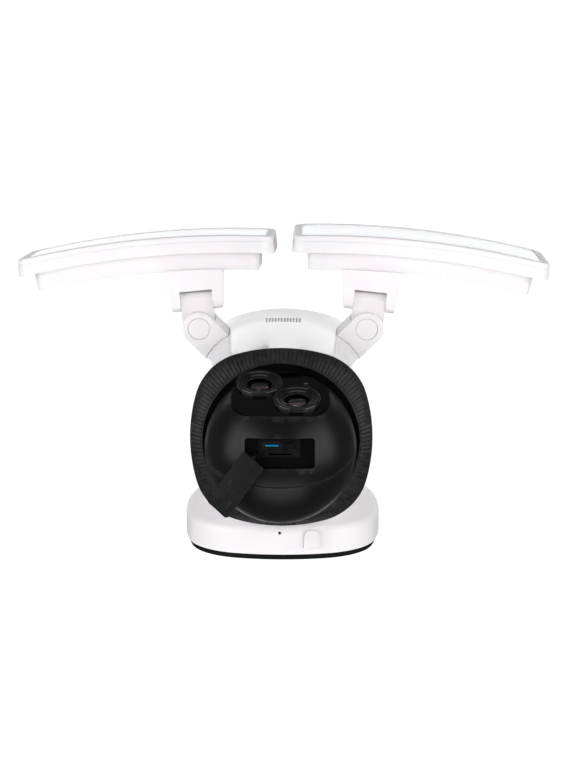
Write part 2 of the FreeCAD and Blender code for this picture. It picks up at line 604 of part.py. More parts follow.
def pan_head():
    """The turntable, its hollow shaft, and the fork inside the ball that the tilt pins run in."""
    axis = ("0", "-axis_out")
    centre = "-ball_drop"
    table = rod("pan_table", "table_r", "z", ("table_low", "table_low + table_thick"), axis)
    shaft = rod("pan_shaft_bar", "pan_shaft", "z", ("table_low", "pan_gear_low + pan_gear_thick + 3"), axis)
    deep = ("-axis_out - fork_depth", "-axis_out + fork_depth")
    neck = box("pan_neck", ("-9", "9"), deep, (f"{centre} + fork_top - 1", "table_low + 1"))
    bar = box("fork_bar_block", ("-fork_half", "fork_half"), deep,
              (f"{centre} + fork_top - fork_bar", f"{centre} + fork_top"))
    bar_round = rounded("fork_bar_round", bar, "1.5", runs_along("y"))
    pieces = [table, shaft, neck, bar_round]
    holes = [rod("pan_wire_bore", "pan_bore", "z", (f"{centre} + fork_top - fork_bar - 1", "0"), axis)]
    for tag, side in (("left", -1), ("right", 1)):
        low, high = reach(side, "fork_half - fork_arm", "fork_half")
        pieces.append(box(f"fork_arm_{tag}", (low, high), deep, (centre, f"{centre} + fork_top - 1")))
        pieces.append(rod(f"fork_eye_{tag}", "fork_depth", "x", (low, high), ("-axis_out", centre)))
        holes.append(rod(f"fork_hole_{tag}", "tilt_pin + running", "x", (f"{low} - 1", f"{high} + 1"),
                         ("-axis_out", centre)))
    pinion_spot = ("-axis_out", f"{centre} + {TILT_REACH}")
    holes.append(rod("fork_spindle_hole", "1 + running", "x", ("fork_half - fork_arm - 1", "fork_half + 1"),
                     pinion_spot))
    node("pan_yoke", cut("pan_yoke_whole", join("pan_yoke_blank", *pieces), *holes))
    end = "fork_half - fork_arm"
    can = rod("tilt_motor_can", "tilt_motor_r", "x", ("-8", end), pinion_spot)
    bore = rod("tilt_motor_bore", "1 + running", "x", (f"{end} - 5", f"{end} + 1"), pinion_spot)
    node("tilt_motor", cut("tilt_motor_whole", can, bore))
    module, thick = value("tilt_module"), value("tilt_gear_thick")
    teeth = int(value("tilt_pinion_teeth"))
    pinion = gear("tilt_pinion_wheel", teeth, module, thick, 0)
    put(pinion, ("trunnion_in", *pinion_spot), TURNS["x"] * Rotation(Vector(0, 0, 1), 180 / teeth))
    spindle = rod("tilt_spindle", "1", "x", (f"{end} - 4.6", "trunnion_in + 1"), pinion_spot)
    node("tilt_pinion", join("tilt_pinion_whole", pinion, spindle))


EYE = Rotation(Vector(1, 0, 0), value("lens_dip"))


def eye(name, made):
    """Name a piece made in the ball's own frame, and put it in the ball."""
    return node(name, made, SPOTS["ball"], EYE)


def ball_shell(name):
    """A hollow sphere whose pole lies on the lens axis and whose seam line misses every opening."""
    pole_on = TURNS["y"] * Rotation(Vector(0, 0, 1), 35)
    origin = ("0", "0", "0")
    outer = primitive("Sphere", name + "_outer", origin, pole_on, Radius="ball_r")
    inner = primitive("Sphere", name + "_inner", origin, pole_on, Radius="ball_r - ball_wall")
    return cut(name + "_hollow", outer, inner)


def window_block(name, near, far):
    """The soft-cornered opening with its bowed lower edge, from near to far along -Y."""
    along = (f"-({far})", f"-({near})")
    block = box(name + "_block", ("-window_half", "window_half"), along, ("window_low", "window_high"))
    bow = rod(name + "_bow", "belly_r", "y", along, ("0", "window_low - belly_drop + belly_r"))
    low = box(name + "_low", ("-belly_half", "belly_half"), along, ("window_low - 2 * belly_drop", "0"))
    soft = rounded(name + "_soft", block, "window_corner", runs_along("y"))
    return join(name, soft, meet(name + "_belly", bow, low))


def port_turn():
    """The port compartment's frame: Z out of the ball, X to the right."""
    return Rotation(Vector(1, 0, 0), 90 + value("port_turn"))


def port_box(name, x, t, out, corner=None):
    """A block in the compartment's frame: x across, t towards the lenses, out from the centre."""
    made = box(name, x, t, out)
    if corner:
        made = rounded(name + "_soft", made, corner, runs_along("z"))
    return put(group(name + "_turned", [made]), ("0", "0", "0"), port_turn())


def ball():
    far = "ball_r + 5"
    span = (f"-({far})", far)
    groove = primitive("Torus", "seam_groove", ("0", "0", "0"), TURNS["y"], Radius1="ball_r",
                       Radius2="seam_round")
    low = math.radians(value("slot_low"))
    start = Vector(0, math.cos(low), math.sin(low))
    slot_turn = Rotation(start, Vector(1, 0, 0).cross(start), Vector(1, 0, 0), "ZXY")
    slot = primitive("Cylinder", "neck_slot", ("-slot_half", "0", "0"), slot_turn, Radius=far,
                     Height="2 * slot_half", Angle="slot_span")
    front_half = box("front_half", span, (f"-({far})", "0"), span)
    rear_half = box("rear_half", span, ("0", far), span)
    window = window_block("window_opening", "window_face - window_thick", far)
    opening = port_box("port_opening", ("-port_half_w", "port_half_w"), ("-port_half_t", "port_half_t"),
                       ("20", far), "port_corner")
    front = meet("front_dome", ball_shell("front"), front_half)
    rear = meet("rear_dome", ball_shell("rear"), rear_half)
    eye("ball_front_shell", cut("front_shell", front, groove, slot, window, opening))
    eye("ball_rear_shell", cut("rear_shell", rear, groove, slot))

    pane = window_block("window_pane", "window_face - window_thick", "window_face")
    limit = primitive("Sphere", "window_limit", ("0", "0", "0"), Radius="ball_r - 0.05")
    pane = meet("window_pane_cut", pane, limit)
    holes = [
        rod(f"window_hole_{tag}", "bezel_hole", "y", (f"-({far})", "0"), (f"{tag}_x", f"{tag}_z"))
        for tag in ("wide", "tele")
    ]
    eye("lens_window", cut("window", pane, *holes))


def lenses():
    barrels = []
    for tag in ("wide", "tele"):
        spot = (f"{tag}_x", f"{tag}_z")
        face = "-window_face"
        ring = rod(f"{tag}_bezel_blank", "bezel_r", "y", (f"{face} - bezel_tall", face), spot)
        rim = (f"{tag}_x", f"{face} - bezel_tall", f"{tag}_z")
        mouth = primitive("Cone", f"{tag}_mouth", rim, TURNS["y"],
                          Radius1="bezel_mouth", Radius2="bezel_throat", Height="bezel_tall - 0.4")
        hole = rod(f"{tag}_bezel_hole", "bezel_hole", "y", (f"{face} - 1", f"{face} + 1"), spot)
        eye(f"{tag}_bezel", cut(f"{tag}_bezel_ring", ring, mouth, hole))
        crown = "lens_crown"
        glass = primitive("Sphere", f"{tag}_crown", (f"{tag}_x", f"{face} + {crown} - 0.6", f"{tag}_z"),
                          Radius=crown)
        barrel = rod(f"{tag}_glass_blank", "lens_r", "y", (f"{face} - 0.6", f"{face} + window_thick"), spot)
        eye(f"{tag}_lens", meet(f"{tag}_glass", barrel, glass))
        ends = (f"{face} + window_thick", "-barrel_back")
        barrels.append(rod(f"{tag}_lens_barrel", "barrel_r", "y", ends, spot))
    eye("lens_barrels", group("lens_barrel_set", barrels))
    board = box("sensor_pcb", ("-board_half", "board_half"), ("-board_back - board_thick", "-board_back"),
                ("board_low", "board_high"))
    chips = [
        box(f"sensor_{tag}", (f"{tag}_x - 4", f"{tag}_x + 4"), ("-barrel_back", "-board_back - board_thick"),
            (f"{tag}_z - 4", f"{tag}_z + 4"))
        for tag in ("wide", "tele")
    ]
    eye("sensor_board", join("sensor_board_whole", board, *chips))


def port_pill(name, x, t, wide, tall, out):
    """A flat-sided plug with round ends, in the compartment's frame."""
    reach = f"({wide}) / 2 - ({tall}) / 2"
    block = box(name + "_middle", (f"{x} - ({reach})", f"{x} + {reach}"),
                (f"{t} - ({tall}) / 2", f"{t} + ({tall}) / 2"), out)
    ends = [
        rod(f"{name}_end_{i}", f"({tall}) / 2", "z", out, (f"{x} + {side} * ({reach})", t))
        for i, side in enumerate((-1, 1))
    ]
    made = join(name, block, *ends)
    return put(made, ("0", "0", "0"), port_turn())


FLAP_NORMAL = Vector(-0.39, -0.0622, -0.9189)
FLAP_REST = -127.0


def flap_place():
    """The flap's frame: its swivel axis runs out of the ball's centre, and X lies along the flap."""
    normal = Vector(FLAP_NORMAL)
    normal.normalize()
    across = Vector(1, 0, 0) - normal * normal.x
    across.normalize()
    upward = normal.cross(across)
    turn = math.radians(FLAP_REST)
    along = across * math.cos(turn) + upward * math.sin(turn)
    facing = Rotation(along, normal.cross(along), normal, "ZXY")
    centre = Vector(0, -value("axis_out"), -value("ball_drop"))
    return Placement(centre + normal * value("ball_r + flap_lift"), facing)


def flap_rod(name, radius, ends):
    """A rod on the flap's axis, turned into the ball's own frame."""
    holder = group(name + "_turned", [rod(name, radius, "z", ends)])
    eye_frame = Placement(Vector(0, -value("axis_out"), -value("ball_drop")), EYE)
    holder.Placement = eye_frame.inverse() * flap_place()
    return holder


def ports():
    wide, tall = "port_half_w + port_wall", "port_half_t + port_wall"
    tray = port_box("tray_block", (f"-({wide})", wide), (f"-({tall})", tall),
                    ("port_floor - port_wall", "ball_r"), "port_corner + port_wall")
    limit = primitive("Sphere", "tray_limit", ("0", "0", "0"), Radius="ball_r - ball_wall - 0.05")
    cavity = port_box("tray_cavity", ("-port_half_w", "port_half_w"), ("-port_half_t", "port_half_t"),
                      ("port_floor", "ball_r + 2"), "port_corner")
    step = port_box("tray_step", ("step_left", "step_right"), ("step_low", "port_half_t"),
                    ("port_floor - 0.5", "step_face"))
    hollow = cut("tray_hollow", meet("tray_trim", tray, limit), cavity)
    socket = flap_rod("flap_socket", "flap_pin + 1.4", ("-9.6", "-5.4"))
    blank = join("tray_blank", hollow, step, socket)
    deep = ("port_floor - port_wall - 4", "step_face + 1")
    usb_hole = port_pill("usb_hole", "usb_x", "usb_t", "usb_w + 0.2", "usb_h + 0.2", deep)
    key_hole = port_pill("button_hole", "button_x", "button_t", "button_w + 0.3", "button_h + 0.3", deep)
    slot = port_pill("card_hole", "card_x", "card_t", "card_w + 0.6", "card_h + 0.6", deep)
    pin_hole = flap_rod("flap_pin_hole", "flap_pin + running", ("-8.6", "-4"))
    eye("port_panel", cut("tray", blank, usb_hole, key_hole, slot, pin_hole))

    face = "step_face - 0.1"
    back = "step_face - usb_deep"
    can = port_pill("usb_can", "usb_x", "usb_t", "usb_w", "usb_h", (back, face))
    inside = (f"{back} + 0.6", "step_face + 1")
    mouth = port_pill("usb_mouth", "usb_x", "usb_t", "usb_w - 0.7", "usb_h - 0.7", inside)
    tongue = port_box("usb_tongue", ("usb_x - 3.2", "usb_x + 3.2"), ("usb_t - 0.35", "usb_t + 0.35"),
                      (f"{back} + 0.4", "step_face - 0.7"))
    eye("usb_port", join("usb_whole", cut("usb_shell", can, mouth), tongue))
    reader = port_pill("card_can", "card_x", "card_t", "card_w + 0.5", "card_h + 0.5", (back, face))
    gap = port_pill("card_mouth", "card_x", "card_t", "card_w - 0.6", "card_h - 0.4", inside)
    eye("card_slot", cut("card_whole", reader, gap))
    key_out = ("port_floor - port_wall - 1", "step_face + 0.7")
    key = port_pill("key", "button_x", "button_t", "button_w", "button_h", key_out)
    eye("sync_button", group("key_held", [key]))


def trunnions():
    """Two stub pins inside the ball that turn in the fork, and the gear on the right-hand one."""
    inside = primitive("Sphere", "trunnion_limit", ("0", "0", "0"), Radius="ball_r - ball_wall")
    stubs = []
    for tag, side in (("left", -1), ("right", 1)):
        in_fork = reach(side, "fork_half - fork_arm - 0.6", "trunnion_in + 1")
        pin = rod(f"tilt_pin_{tag}", "tilt_pin", "x", in_fork)
        stub = rod(f"tilt_stub_{tag}", "trunnion_r", "x", reach(side, "trunnion_in", "trunnion_out"))
        stubs.append(meet(f"trunnion_{tag}", join(f"trunnion_{tag}_blank", pin, stub), inside))
    eye("tilt_trunnions", group("trunnion_set", stubs))
    teeth, module, thick = (value(f"tilt_{size}") for size in ("gear_teeth", "module", "gear_thick"))
    wheel = gear("tilt_wheel", int(teeth), module, thick, value("trunnion_r"))
    node("tilt_gear", wheel, ("trunnion_in", "-axis_out", "-ball_drop"), TURNS["x"])


def port_flap():
    """The rubber cover of the ports, swung out of the way on its tether."""
    low, high = "flap_side - flap_wide / 2", "flap_side + flap_wide / 2"
    strip = box("flap_block", ("-flap_back", "flap_length - flap_back"), (low, high), ("0", "flap_thick"))
    strip = rounded("flap_strip", strip, "1.6", runs_along("z"))
    pin = rod("flap_pin_bar", "flap_pin", "z", ("-8.4", "0.5"))
    made = node("port_flap", join("flap_whole", strip, pin))
    made.Placement = flap_place()


# ---------------------------------------------------------------- arms and lamps

def arm(tag, side):
    """A clevis on the barrel's front corner, its pivot pin, and the link that turns in it."""
    x, y = f"{side} * pivot_x", "-pivot_out"
    spot = (x, y)
    span = ("arm_low", "arm_high")
    eye_round = rod(f"root_eye_{tag}", "arm_r", "z", span, spot)
    beam = box(f"root_beam_{tag}", ("-arm_r", "arm_r"), ("0", "26"), span)
    aim = math.degrees(math.atan2(value("pivot_out - axis_out"), value("pivot_x")))
    towards_axis = Rotation(Vector(0, 0, 1), side * (90 - aim))
    beam_hold = put(group(f"root_beam_turned_{tag}", [beam]), (x, y, "0"), towards_axis)
    blank = join(f"root_blank_{tag}", eye_round, beam_hold)
    bed = doc.addObject("PartDesign::Body", f"root_bed_{tag}")
    funnel(bed, "bed", "XY_Plane", BARREL, ("barrel_low", "0"), ("cap_high", "barrel_draft"))
    put(bed, SPOTS["barrel"])
    gap_span = ("arm_low + cheek", "arm_high - cheek")
    gap_round = rod(f"root_gap_{tag}", "link_r + arm_gap + 0.3", "z", gap_span, spot)
    slot = box(f"root_slot_{tag}", ("-20", "20"), ("-20", "0"), gap_span)
    slot_hold = put(group(f"root_slot_turned_{tag}", [slot]), (x, y, "0"), towards_axis)
    hole = rod(f"root_hole_{tag}", "arm_pin", "z", ("arm_low - 1", "arm_high + 1"), spot)
    seat = rod(f"root_seat_{tag}", "pin_head + 0.3", "z", ("arm_low - 1", "arm_low + head_deep"), spot)
    node(f"arm_root_{tag}", cut(f"root_{tag}", blank, bed, gap_round, slot_hold, hole, seat))
    head = rod(f"pin_cap_{tag}", "pin_head", "z", ("arm_low", "arm_low + head_deep"), spot)
    shank = rod(f"pin_shank_{tag}", "arm_pin", "z", span, spot)
    node(f"arm_pin_{tag}", join(f"pin_{tag}", head, shank))

    # The link, in the lamp's frame: its pivot eye is link_reach behind the tilt axis.
    low, high = "-link_tall / 2", "link_tall / 2"
    back = rod(f"link_eye_{tag}", "link_r", "z", (low, high), ("0", "link_reach"))
    plate = box(f"link_plate_{tag}", ("-link_r", "link_r"), ("0", "link_reach"),
                ("-link_head", "link_head"))
    head = rod(f"link_head_{tag}", "link_head", "x", ("-link_r", "link_r"), ("0", "0"))
    holes = [
        rod(f"link_pivot_{tag}", "arm_pin + running", "z", ("-20", "20"), ("0", "link_reach")),
        rod(f"link_cross_{tag}", "lamp_pin + running", "x", ("-20", "20"), ("0", "0")),
    ]
    roll = Rotation(Vector(0, 0, 1), side * value(f"roll_{tag}"))
    blank = join(f"link_blank_{tag}", back, plate, head)
    node(f"link_{tag}", cut(f"link_whole_{tag}", blank, *holes), tilt_spot(tag, side), roll)


def tilt_spot(tag, side):
    """Where the lamp's tilt axis crosses its link: link_reach out of the pivot, along the roll."""
    turn = math.radians(value(f"roll_{tag}"))
    x = f"{side} * (pivot_x + link_reach * {math.sin(turn):.6f})"
    y = f"-pivot_out - link_reach * {math.cos(turn):.6f}"
    return (x, y, "(arm_low + arm_high) / 2")


def lamp_turn(tag, side):
    roll = Rotation(Vector(0, 0, 1), side * value(f"roll_{tag}"))
    lean = Rotation(Vector(1, 0, 0), -value(f"lean_{tag}"))
    return roll * lean


def bowed(name, side, block, front, back):
    """Trim a block to the lamp's bow, between front and back measured inwards from its face."""
    middle = f"{side} * (lamp_out - lamp_in) / 2"
    centre = "-lamp_face + lamp_bow"
    outer = rod(name + "_bow_out", f"lamp_bow - ({front})", "z", ("-30", "90"), (middle, centre))
    inner = rod(name + "_bow_in", f"lamp_bow - ({back})", "z", ("-30", "90"), (middle, centre))
    return meet(name + "_bowed", block, cut(name + "_bow", outer, inner))


def panel(name, side, inner, outer, low, high, corner, front, back):
    """A bowed plate with rounded corners, standing in the lamp's frame."""
    block = box(name + "_block", reach(side, f"-({inner})", outer), ("-60", "10"), (low, high))
    return bowed(name, side, rounded(name + "_soft", block, corner, runs_along("y")), front, back)


def lamp(tag, side):
    """A bowed light panel: a front frame over a drafted tub, with a diffuser, its board and a seal."""
    frame = (tilt_spot(tag, side), lamp_turn(tag, side))

    def lit(name, made):
        return node(f"{name}_{tag}", made, *frame)

    def leaf(name, edge, corner, front, back):
        return panel(f"{name}_{tag}", side, f"lamp_in - ({edge})", f"lamp_out - ({edge})",
                     f"lamp_low + {edge}", f"lamp_high - ({edge})", corner, front, back)

    rim = leaf("rim", "0", "lamp_corner", "0", "frame_deep")
    mouth = leaf("mouth", "rim_edge", "lamp_corner - rim_edge + 1", "-1", "frame_deep + 1")
    lit("lamp_bezel", cut(f"bezel_{tag}", rim, mouth))
    lit("lamp_diffuser", leaf("diffuser", "rim_edge + 0.1", "lamp_corner - rim_edge + 0.9", "0.9", "2.9"))
    board_back = "rim_deep - lamp_wall - 0.4"
    lit("led_board", leaf("leds", "rim_edge + 1", "3", f"{board_back} - led_thick", board_back))
    seal_back = "frame_deep + seal_thick"
    lit("lamp_seal", cut(f"seal_{tag}",
                         leaf("seal", "0.9", "lamp_corner - 0.9", "frame_deep", seal_back),
                         leaf("seal_hole", "1.9", "lamp_corner - 1.9", "frame_deep - 1", f"{seal_back} + 1")))

    # The housing: the back of the rim and a drafted tub in one, with two lugs for the tilt pin.
    def tub(name, edge, front, back):
        soft = rounded(f"{name}_soft_{tag}", wedge(f"{name}_{tag}", side, edge), "lamp_corner - 3", slants)
        return bowed(f"{name}_{tag}", side, soft, front, back)

    skirt = leaf("skirt", "0", "lamp_corner", "frame_deep", "rim_deep")
    outside = tub("tub", "0", "rim_deep - 1", "rim_deep + housing_deep")
    inside = tub("tub_hollow", "lamp_wall", "rim_deep - lamp_wall - 1", "rim_deep + housing_deep - lamp_wall")
    chamber = leaf("chamber", "2.8", "lamp_corner - 2.8", "frame_deep - 1", "rim_deep - lamp_wall")
    groove = cut(f"seal_groove_{tag}",
                 leaf("groove", "0.8", "lamp_corner - 0.8", "frame_deep - 1", seal_back),
                 leaf("groove_core", "2", "lamp_corner - 2", "frame_deep - 2", f"{seal_back} + 1"))
    walls = cut(f"tub_walls_{tag}", join(f"tub_blank_{tag}", skirt, outside), inside, chamber, groove)
    slot = box(f"lug_slot_{tag}", ("-lug_slot", "lug_slot"), ("-lug_ceiling", "20"), ("-20", "20"))
    hole = rod(f"lug_hole_{tag}", "lamp_pin", "x", ("-30", "30"))
    blank = join(f"housing_blank_{tag}", walls, lug_keep(tag, side, lug(tag)))
    lit("lamp_housing", cut(f"housing_{tag}", blank, slot, hole))
    pin = rod(f"tilt_pin_bar_{tag}", "lamp_pin", "x", ("-lug_tip", "lug_tip"))
    lit("tilt_pin", group(f"tilt_pin_held_{tag}", [pin]))


def lug(tag):
    """The hinge lug, narrower towards its tip, with a rounded back."""
    made = doc.addObject("Part::Wedge", f"lug_{tag}")
    sizes = {
        "Xmin": "-lug_half", "Xmax": "lug_half", "X2min": "-lug_tip", "X2max": "lug_tip",
        "Zmin": "-lug_tall / 2", "Zmax": "lug_tall / 2", "Z2min": "-lug_tall / 2", "Z2max": "lug_tall / 2",
        "Ymin": "-lug_root", "Ymax": "lug_back",
    }
    for size, text in sizes.items():
        made.setExpression(size, rule(text))
    return rounded(f"lug_soft_{tag}", made, "4.5", behind("x"))


def lug_keep(tag, side, lug):
    """The lugs end at the back of the tub's floor, so they don't fill the lamp."""
    middle = f"{side} * (lamp_out - lamp_in) / 2"
    inner = rod(f"lug_trim_{tag}", "lamp_bow - rim_deep - housing_deep + 0.5", "z", ("-30", "90"),
                (middle, "-lamp_face + lamp_bow"))
    return meet(f"lug_kept_{tag}", lug, inner)


def wedge(name, side, edge):
    """A block in the lamp's frame that narrows towards its back."""
    made = doc.addObject("Part::Wedge", name)
    left, right = reach(side, f"-housing_in + {edge}", f"housing_out - ({edge})")
    low, high = f"housing_low + {edge}", f"housing_high - ({edge})"
    sizes = {
        "Xmin": left, "Xmax": right, "Zmin": low, "Zmax": high,
        "X2min": f"{left} + housing_draft", "X2max": f"{right} - housing_draft",
        "Z2min": f"{low} + housing_draft", "Z2max": f"{high} - housing_draft",
        "Ymin": "-lamp_face + rim_deep - 2", "Ymax": "-lamp_face + rim_deep + housing_deep + 6",
    }
    for size, text in sizes.items():
        made.setExpression(size, rule(text))
    return made


def slants(edge):
    start, end = edge.Vertexes[0].Point, edge.Vertexes[-1].Point
    return abs(end.y - start.y) > 1


def behind(axis):
    along = runs_along(axis)

    def wanted(edge):
        return along(edge) and all(vertex.Y > 0 for vertex in edge.Vertexes)
    return wanted


wall_gasket()
base_back_ring()
wall_bracket()
base_shell()
base_fittings()
body_shell()
top_cap()
ribbed_ring()
chassis_plate()
pan_drive()
electronics()
pan_head()
ball()
lenses()
ports()
trunnions()
port_flap()
for tag, side in (("left", -1), ("right", 1)):
    arm(tag, side)
    lamp(tag, side)

doc.recompute()
broken = [made.Name for made in doc.Objects if {"Invalid", "Error"} & set(made.State)]
if broken:
    raise RuntimeError(f"these objects failed: {broken}")
for name, made in NODES.items():
    if made.Shape.isNull() or not made.Shape.isValid():
        raise RuntimeError(f"{name} has no valid shape")

os.makedirs("parts", exist_ok=True)
for name, made in NODES.items():
    made.Shape.exportStep(f"parts/{name}.step")
print(len(NODES), "sub-parts written")
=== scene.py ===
import json
import math
import bmesh
import bpy
from mathutils import Matrix, Vector


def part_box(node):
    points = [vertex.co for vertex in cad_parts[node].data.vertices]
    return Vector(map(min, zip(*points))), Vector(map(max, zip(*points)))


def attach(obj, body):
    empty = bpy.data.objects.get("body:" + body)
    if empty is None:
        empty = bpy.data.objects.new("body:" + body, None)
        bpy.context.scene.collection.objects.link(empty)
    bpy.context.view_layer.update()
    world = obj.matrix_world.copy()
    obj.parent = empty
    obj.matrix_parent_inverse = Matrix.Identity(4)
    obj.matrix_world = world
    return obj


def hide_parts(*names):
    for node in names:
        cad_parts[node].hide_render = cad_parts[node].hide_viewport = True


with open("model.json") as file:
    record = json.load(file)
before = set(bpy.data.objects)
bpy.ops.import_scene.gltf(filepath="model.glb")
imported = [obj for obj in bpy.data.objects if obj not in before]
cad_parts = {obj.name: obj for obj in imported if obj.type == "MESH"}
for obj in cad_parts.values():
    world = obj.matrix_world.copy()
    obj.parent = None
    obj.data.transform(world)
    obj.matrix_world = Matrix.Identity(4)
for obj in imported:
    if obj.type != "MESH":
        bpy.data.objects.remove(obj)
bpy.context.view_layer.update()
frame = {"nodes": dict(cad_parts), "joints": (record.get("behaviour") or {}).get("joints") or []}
nodes = frame["nodes"]
joints = {joint["name"]: joint for joint in frame["joints"]}
MM = 0.001

# ---------------------------------------------------------------- base and gasket
# The base is a hollow soft-square moulding in warm white plastic. It closes on a flat back ring
# with four screws, and a black rubber gasket behind the ring seals it against the wall.


def shader_group(name, inputs, outputs):
    """An empty shader node group with its sockets, and its two end nodes."""
    tree = bpy.data.node_groups.new(name, "ShaderNodeTree")
    for label, kind, start in inputs:
        tree.interface.new_socket(label, in_out="INPUT", socket_type=kind).default_value = start
    for label, kind in outputs:
        tree.interface.new_socket(label, in_out="OUTPUT", socket_type=kind)
    return tree, tree.nodes.new("NodeGroupInput"), tree.nodes.new("NodeGroupOutput")


def noise(tree, scale, detail=3.0):
    """Noise on Object coordinates; scale is a number or a socket."""
    place = tree.nodes.new("ShaderNodeTexCoord")
    made = tree.nodes.new("ShaderNodeTexNoise")
    made.inputs["Detail"].default_value = detail
    tree.links.new(place.outputs["Object"], made.inputs["Vector"])
    if isinstance(scale, (int, float)):
        made.inputs["Scale"].default_value = scale
    else:
        tree.links.new(scale, made.inputs["Scale"])
    return made.outputs["Fac"]


def spread(tree, value, low, high):
    """Map the middle of a noise to the range from low to high."""
    made = tree.nodes.new("ShaderNodeMapRange")
    made.inputs["From Min"].default_value = 0.3
    made.inputs["From Max"].default_value = 0.7
    made.inputs["To Min"].default_value = low
    made.inputs["To Max"].default_value = high
    tree.links.new(value, made.inputs["Value"])
    return made.outputs["Result"]


def times(tree, first, second):
    made = tree.nodes.new("ShaderNodeMath")
    made.operation = "MULTIPLY"
    tree.links.new(first, made.inputs[0])
    tree.links.new(second, made.inputs[1])
    return made.outputs[0]


GRAIN_DROP = 0.05 * MM
moulded_grain, start, end = shader_group(
    "moulded_grain",
    [("Colour", "NodeSocketColor", (1, 1, 1, 1)), ("Roughness", "NodeSocketFloat", 0.4),
     ("Grain Scale", "NodeSocketFloat", 2500.0), ("Grain Depth", "NodeSocketFloat", 0.1)],
    [("Colour", "NodeSocketColor"), ("Roughness", "NodeSocketFloat"), ("Normal", "NodeSocketVector")],
)
bump = moulded_grain.nodes.new("ShaderNodeBump")
bump.inputs["Distance"].default_value = GRAIN_DROP
moulded_grain.links.new(start.outputs["Grain Depth"], bump.inputs["Strength"])
moulded_grain.links.new(noise(moulded_grain, start.outputs["Grain Scale"]), bump.inputs["Height"])
moulded_grain.links.new(bump.outputs["Normal"], end.inputs["Normal"])
shade = moulded_grain.nodes.new("ShaderNodeHueSaturation")
moulded_grain.links.new(start.outputs["Colour"], shade.inputs["Color"])
moulded_grain.links.new(spread(moulded_grain, noise(moulded_grain, 16.0), 0.97, 1.03), shade.inputs["Value"])
moulded_grain.links.new(shade.outputs["Color"], end.inputs["Colour"])
sheen = spread(moulded_grain, noise(moulded_grain, 45.0, 5.0), 0.9, 1.12)
moulded_grain.links.new(times(moulded_grain, start.outputs["Roughness"], sheen), end.inputs["Roughness"])

edge_wear, start, end = shader_group(
    "edge_wear", [("Reach", "NodeSocketFloat", 0.56)], [("Mask", "NodeSocketFloat")]
)
shape = edge_wear.nodes.new("ShaderNodeNewGeometry")
ridge = edge_wear.nodes.new("ShaderNodeMapRange")
ridge.inputs["From Min"].default_value = 0.505
edge_wear.links.new(start.outputs["Reach"], ridge.inputs["From Max"])
edge_wear.links.new(shape.outputs["Pointiness"], ridge.inputs["Value"])
broken = spread(edge_wear, noise(edge_wear, 300.0, 4.0), 0.4, 1.0)
edge_wear.links.new(times(edge_wear, ridge.outputs["Result"], broken), end.inputs["Mask"])


def finish(name, fixed):
    """A new material, with its plain numbers set on the shader's own sockets."""
    made = bpy.data.materials.new(name)
    made.use_nodes = True
    shader = made.node_tree.nodes["Principled BSDF"]
    for socket, number in fixed.items():
        shader.inputs[socket].default_value = number
    return made, made.node_tree, shader


def moulded(name, colour, roughness, grain=2500.0, depth=0.1, worn=None, **fixed):
    """Moulded plastic or rubber: grain, a little mottling and, where worn is a colour, paler edges."""
    made, tree, shader = finish(name, {socket.replace("_", " "): number for socket, number in fixed.items()})
    skin = tree.nodes.new("ShaderNodeGroup")
    skin.node_tree = moulded_grain
    skin.inputs["Colour"].default_value = (*colour, 1)
    skin.inputs["Roughness"].default_value = roughness
    skin.inputs["Grain Scale"].default_value = grain
    skin.inputs["Grain Depth"].default_value = depth
    tree.links.new(skin.outputs["Roughness"], shader.inputs["Roughness"])
    tree.links.new(skin.outputs["Normal"], shader.inputs["Normal"])
    if worn is None:
        tree.links.new(skin.outputs["Colour"], shader.inputs["Base Color"])
        return made
    wear = tree.nodes.new("ShaderNodeGroup")
    wear.node_tree = edge_wear
    blend = tree.nodes.new("ShaderNodeMix")
    blend.data_type = "RGBA"
    blend.inputs["B"].default_value = (*worn, 1)
    tree.links.new(wear.outputs["Mask"], blend.inputs["Factor"])
    tree.links.new(skin.outputs["Colour"], blend.inputs["A"])
    tree.links.new(blend.outputs["Result"], shader.inputs["Base Color"])
    return made


def keep(name, mesh, body, finish_slot, material, *stands_for):
    """A finished mesh as a piece: its material, the body it rides on and the parts it stands for."""
    mesh.materials.clear()
    mesh.materials.append(material)
    piece = bpy.data.objects.new(name, mesh)
    bpy.context.scene.collection.objects.link(piece)
    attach(piece, body)
    if stands_for:
        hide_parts(*stands_for)
    return piece


def evaluated(holder):
    """The mesh that an object's modifiers make, with the object itself removed."""
    graph = bpy.context.evaluated_depsgraph_get()
    mesh = bpy.data.meshes.new_from_object(holder.evaluated_get(graph), depsgraph=graph)
    bpy.data.objects.remove(holder)
    return mesh


WELD = 0.001 * MM
SMOOTH = math.radians(38)
FLAT = math.radians(0.03)


def round_edges(mesh, width, steps=3):
    """Round a closed mesh's sharp edges. width is a number, or gives one for an edge's middle point."""
    work = bmesh.new()
    work.from_mesh(mesh)
    bmesh.ops.remove_doubles(work, verts=work.verts, dist=WELD)
    bmesh.ops.dissolve_limit(work, angle_limit=FLAT, verts=work.verts, edges=work.edges)
    weight = work.edges.layers.float.new("bevel_weight_edge")
    sizes = {}
    for edge in work.edges:
        if edge.calc_face_angle(0) > SMOOTH:
            middle = (edge.verts[0].co + edge.verts[1].co) / 2
            sizes[edge] = width(middle) if callable(width) else width
    widest = max(sizes.values(), default=0)
    for edge, size in sizes.items():
        edge[weight] = size / widest if widest else 0
    work.to_mesh(mesh)
    work.free()
    holder = bpy.data.objects.new("rounding", mesh)
    bpy.context.scene.collection.objects.link(holder)
    if widest:
        bevel = holder.modifiers.new("rounding", "BEVEL")
        bevel.limit_method = "WEIGHT"
        bevel.width = widest
        bevel.segments = steps
        bevel.miter_outer = "MITER_ARC"
    mesh.shade_smooth()
    even = holder.modifiers.new("even", "WEIGHTED_NORMAL")
    even.keep_sharp = True
    return evaluated(holder)


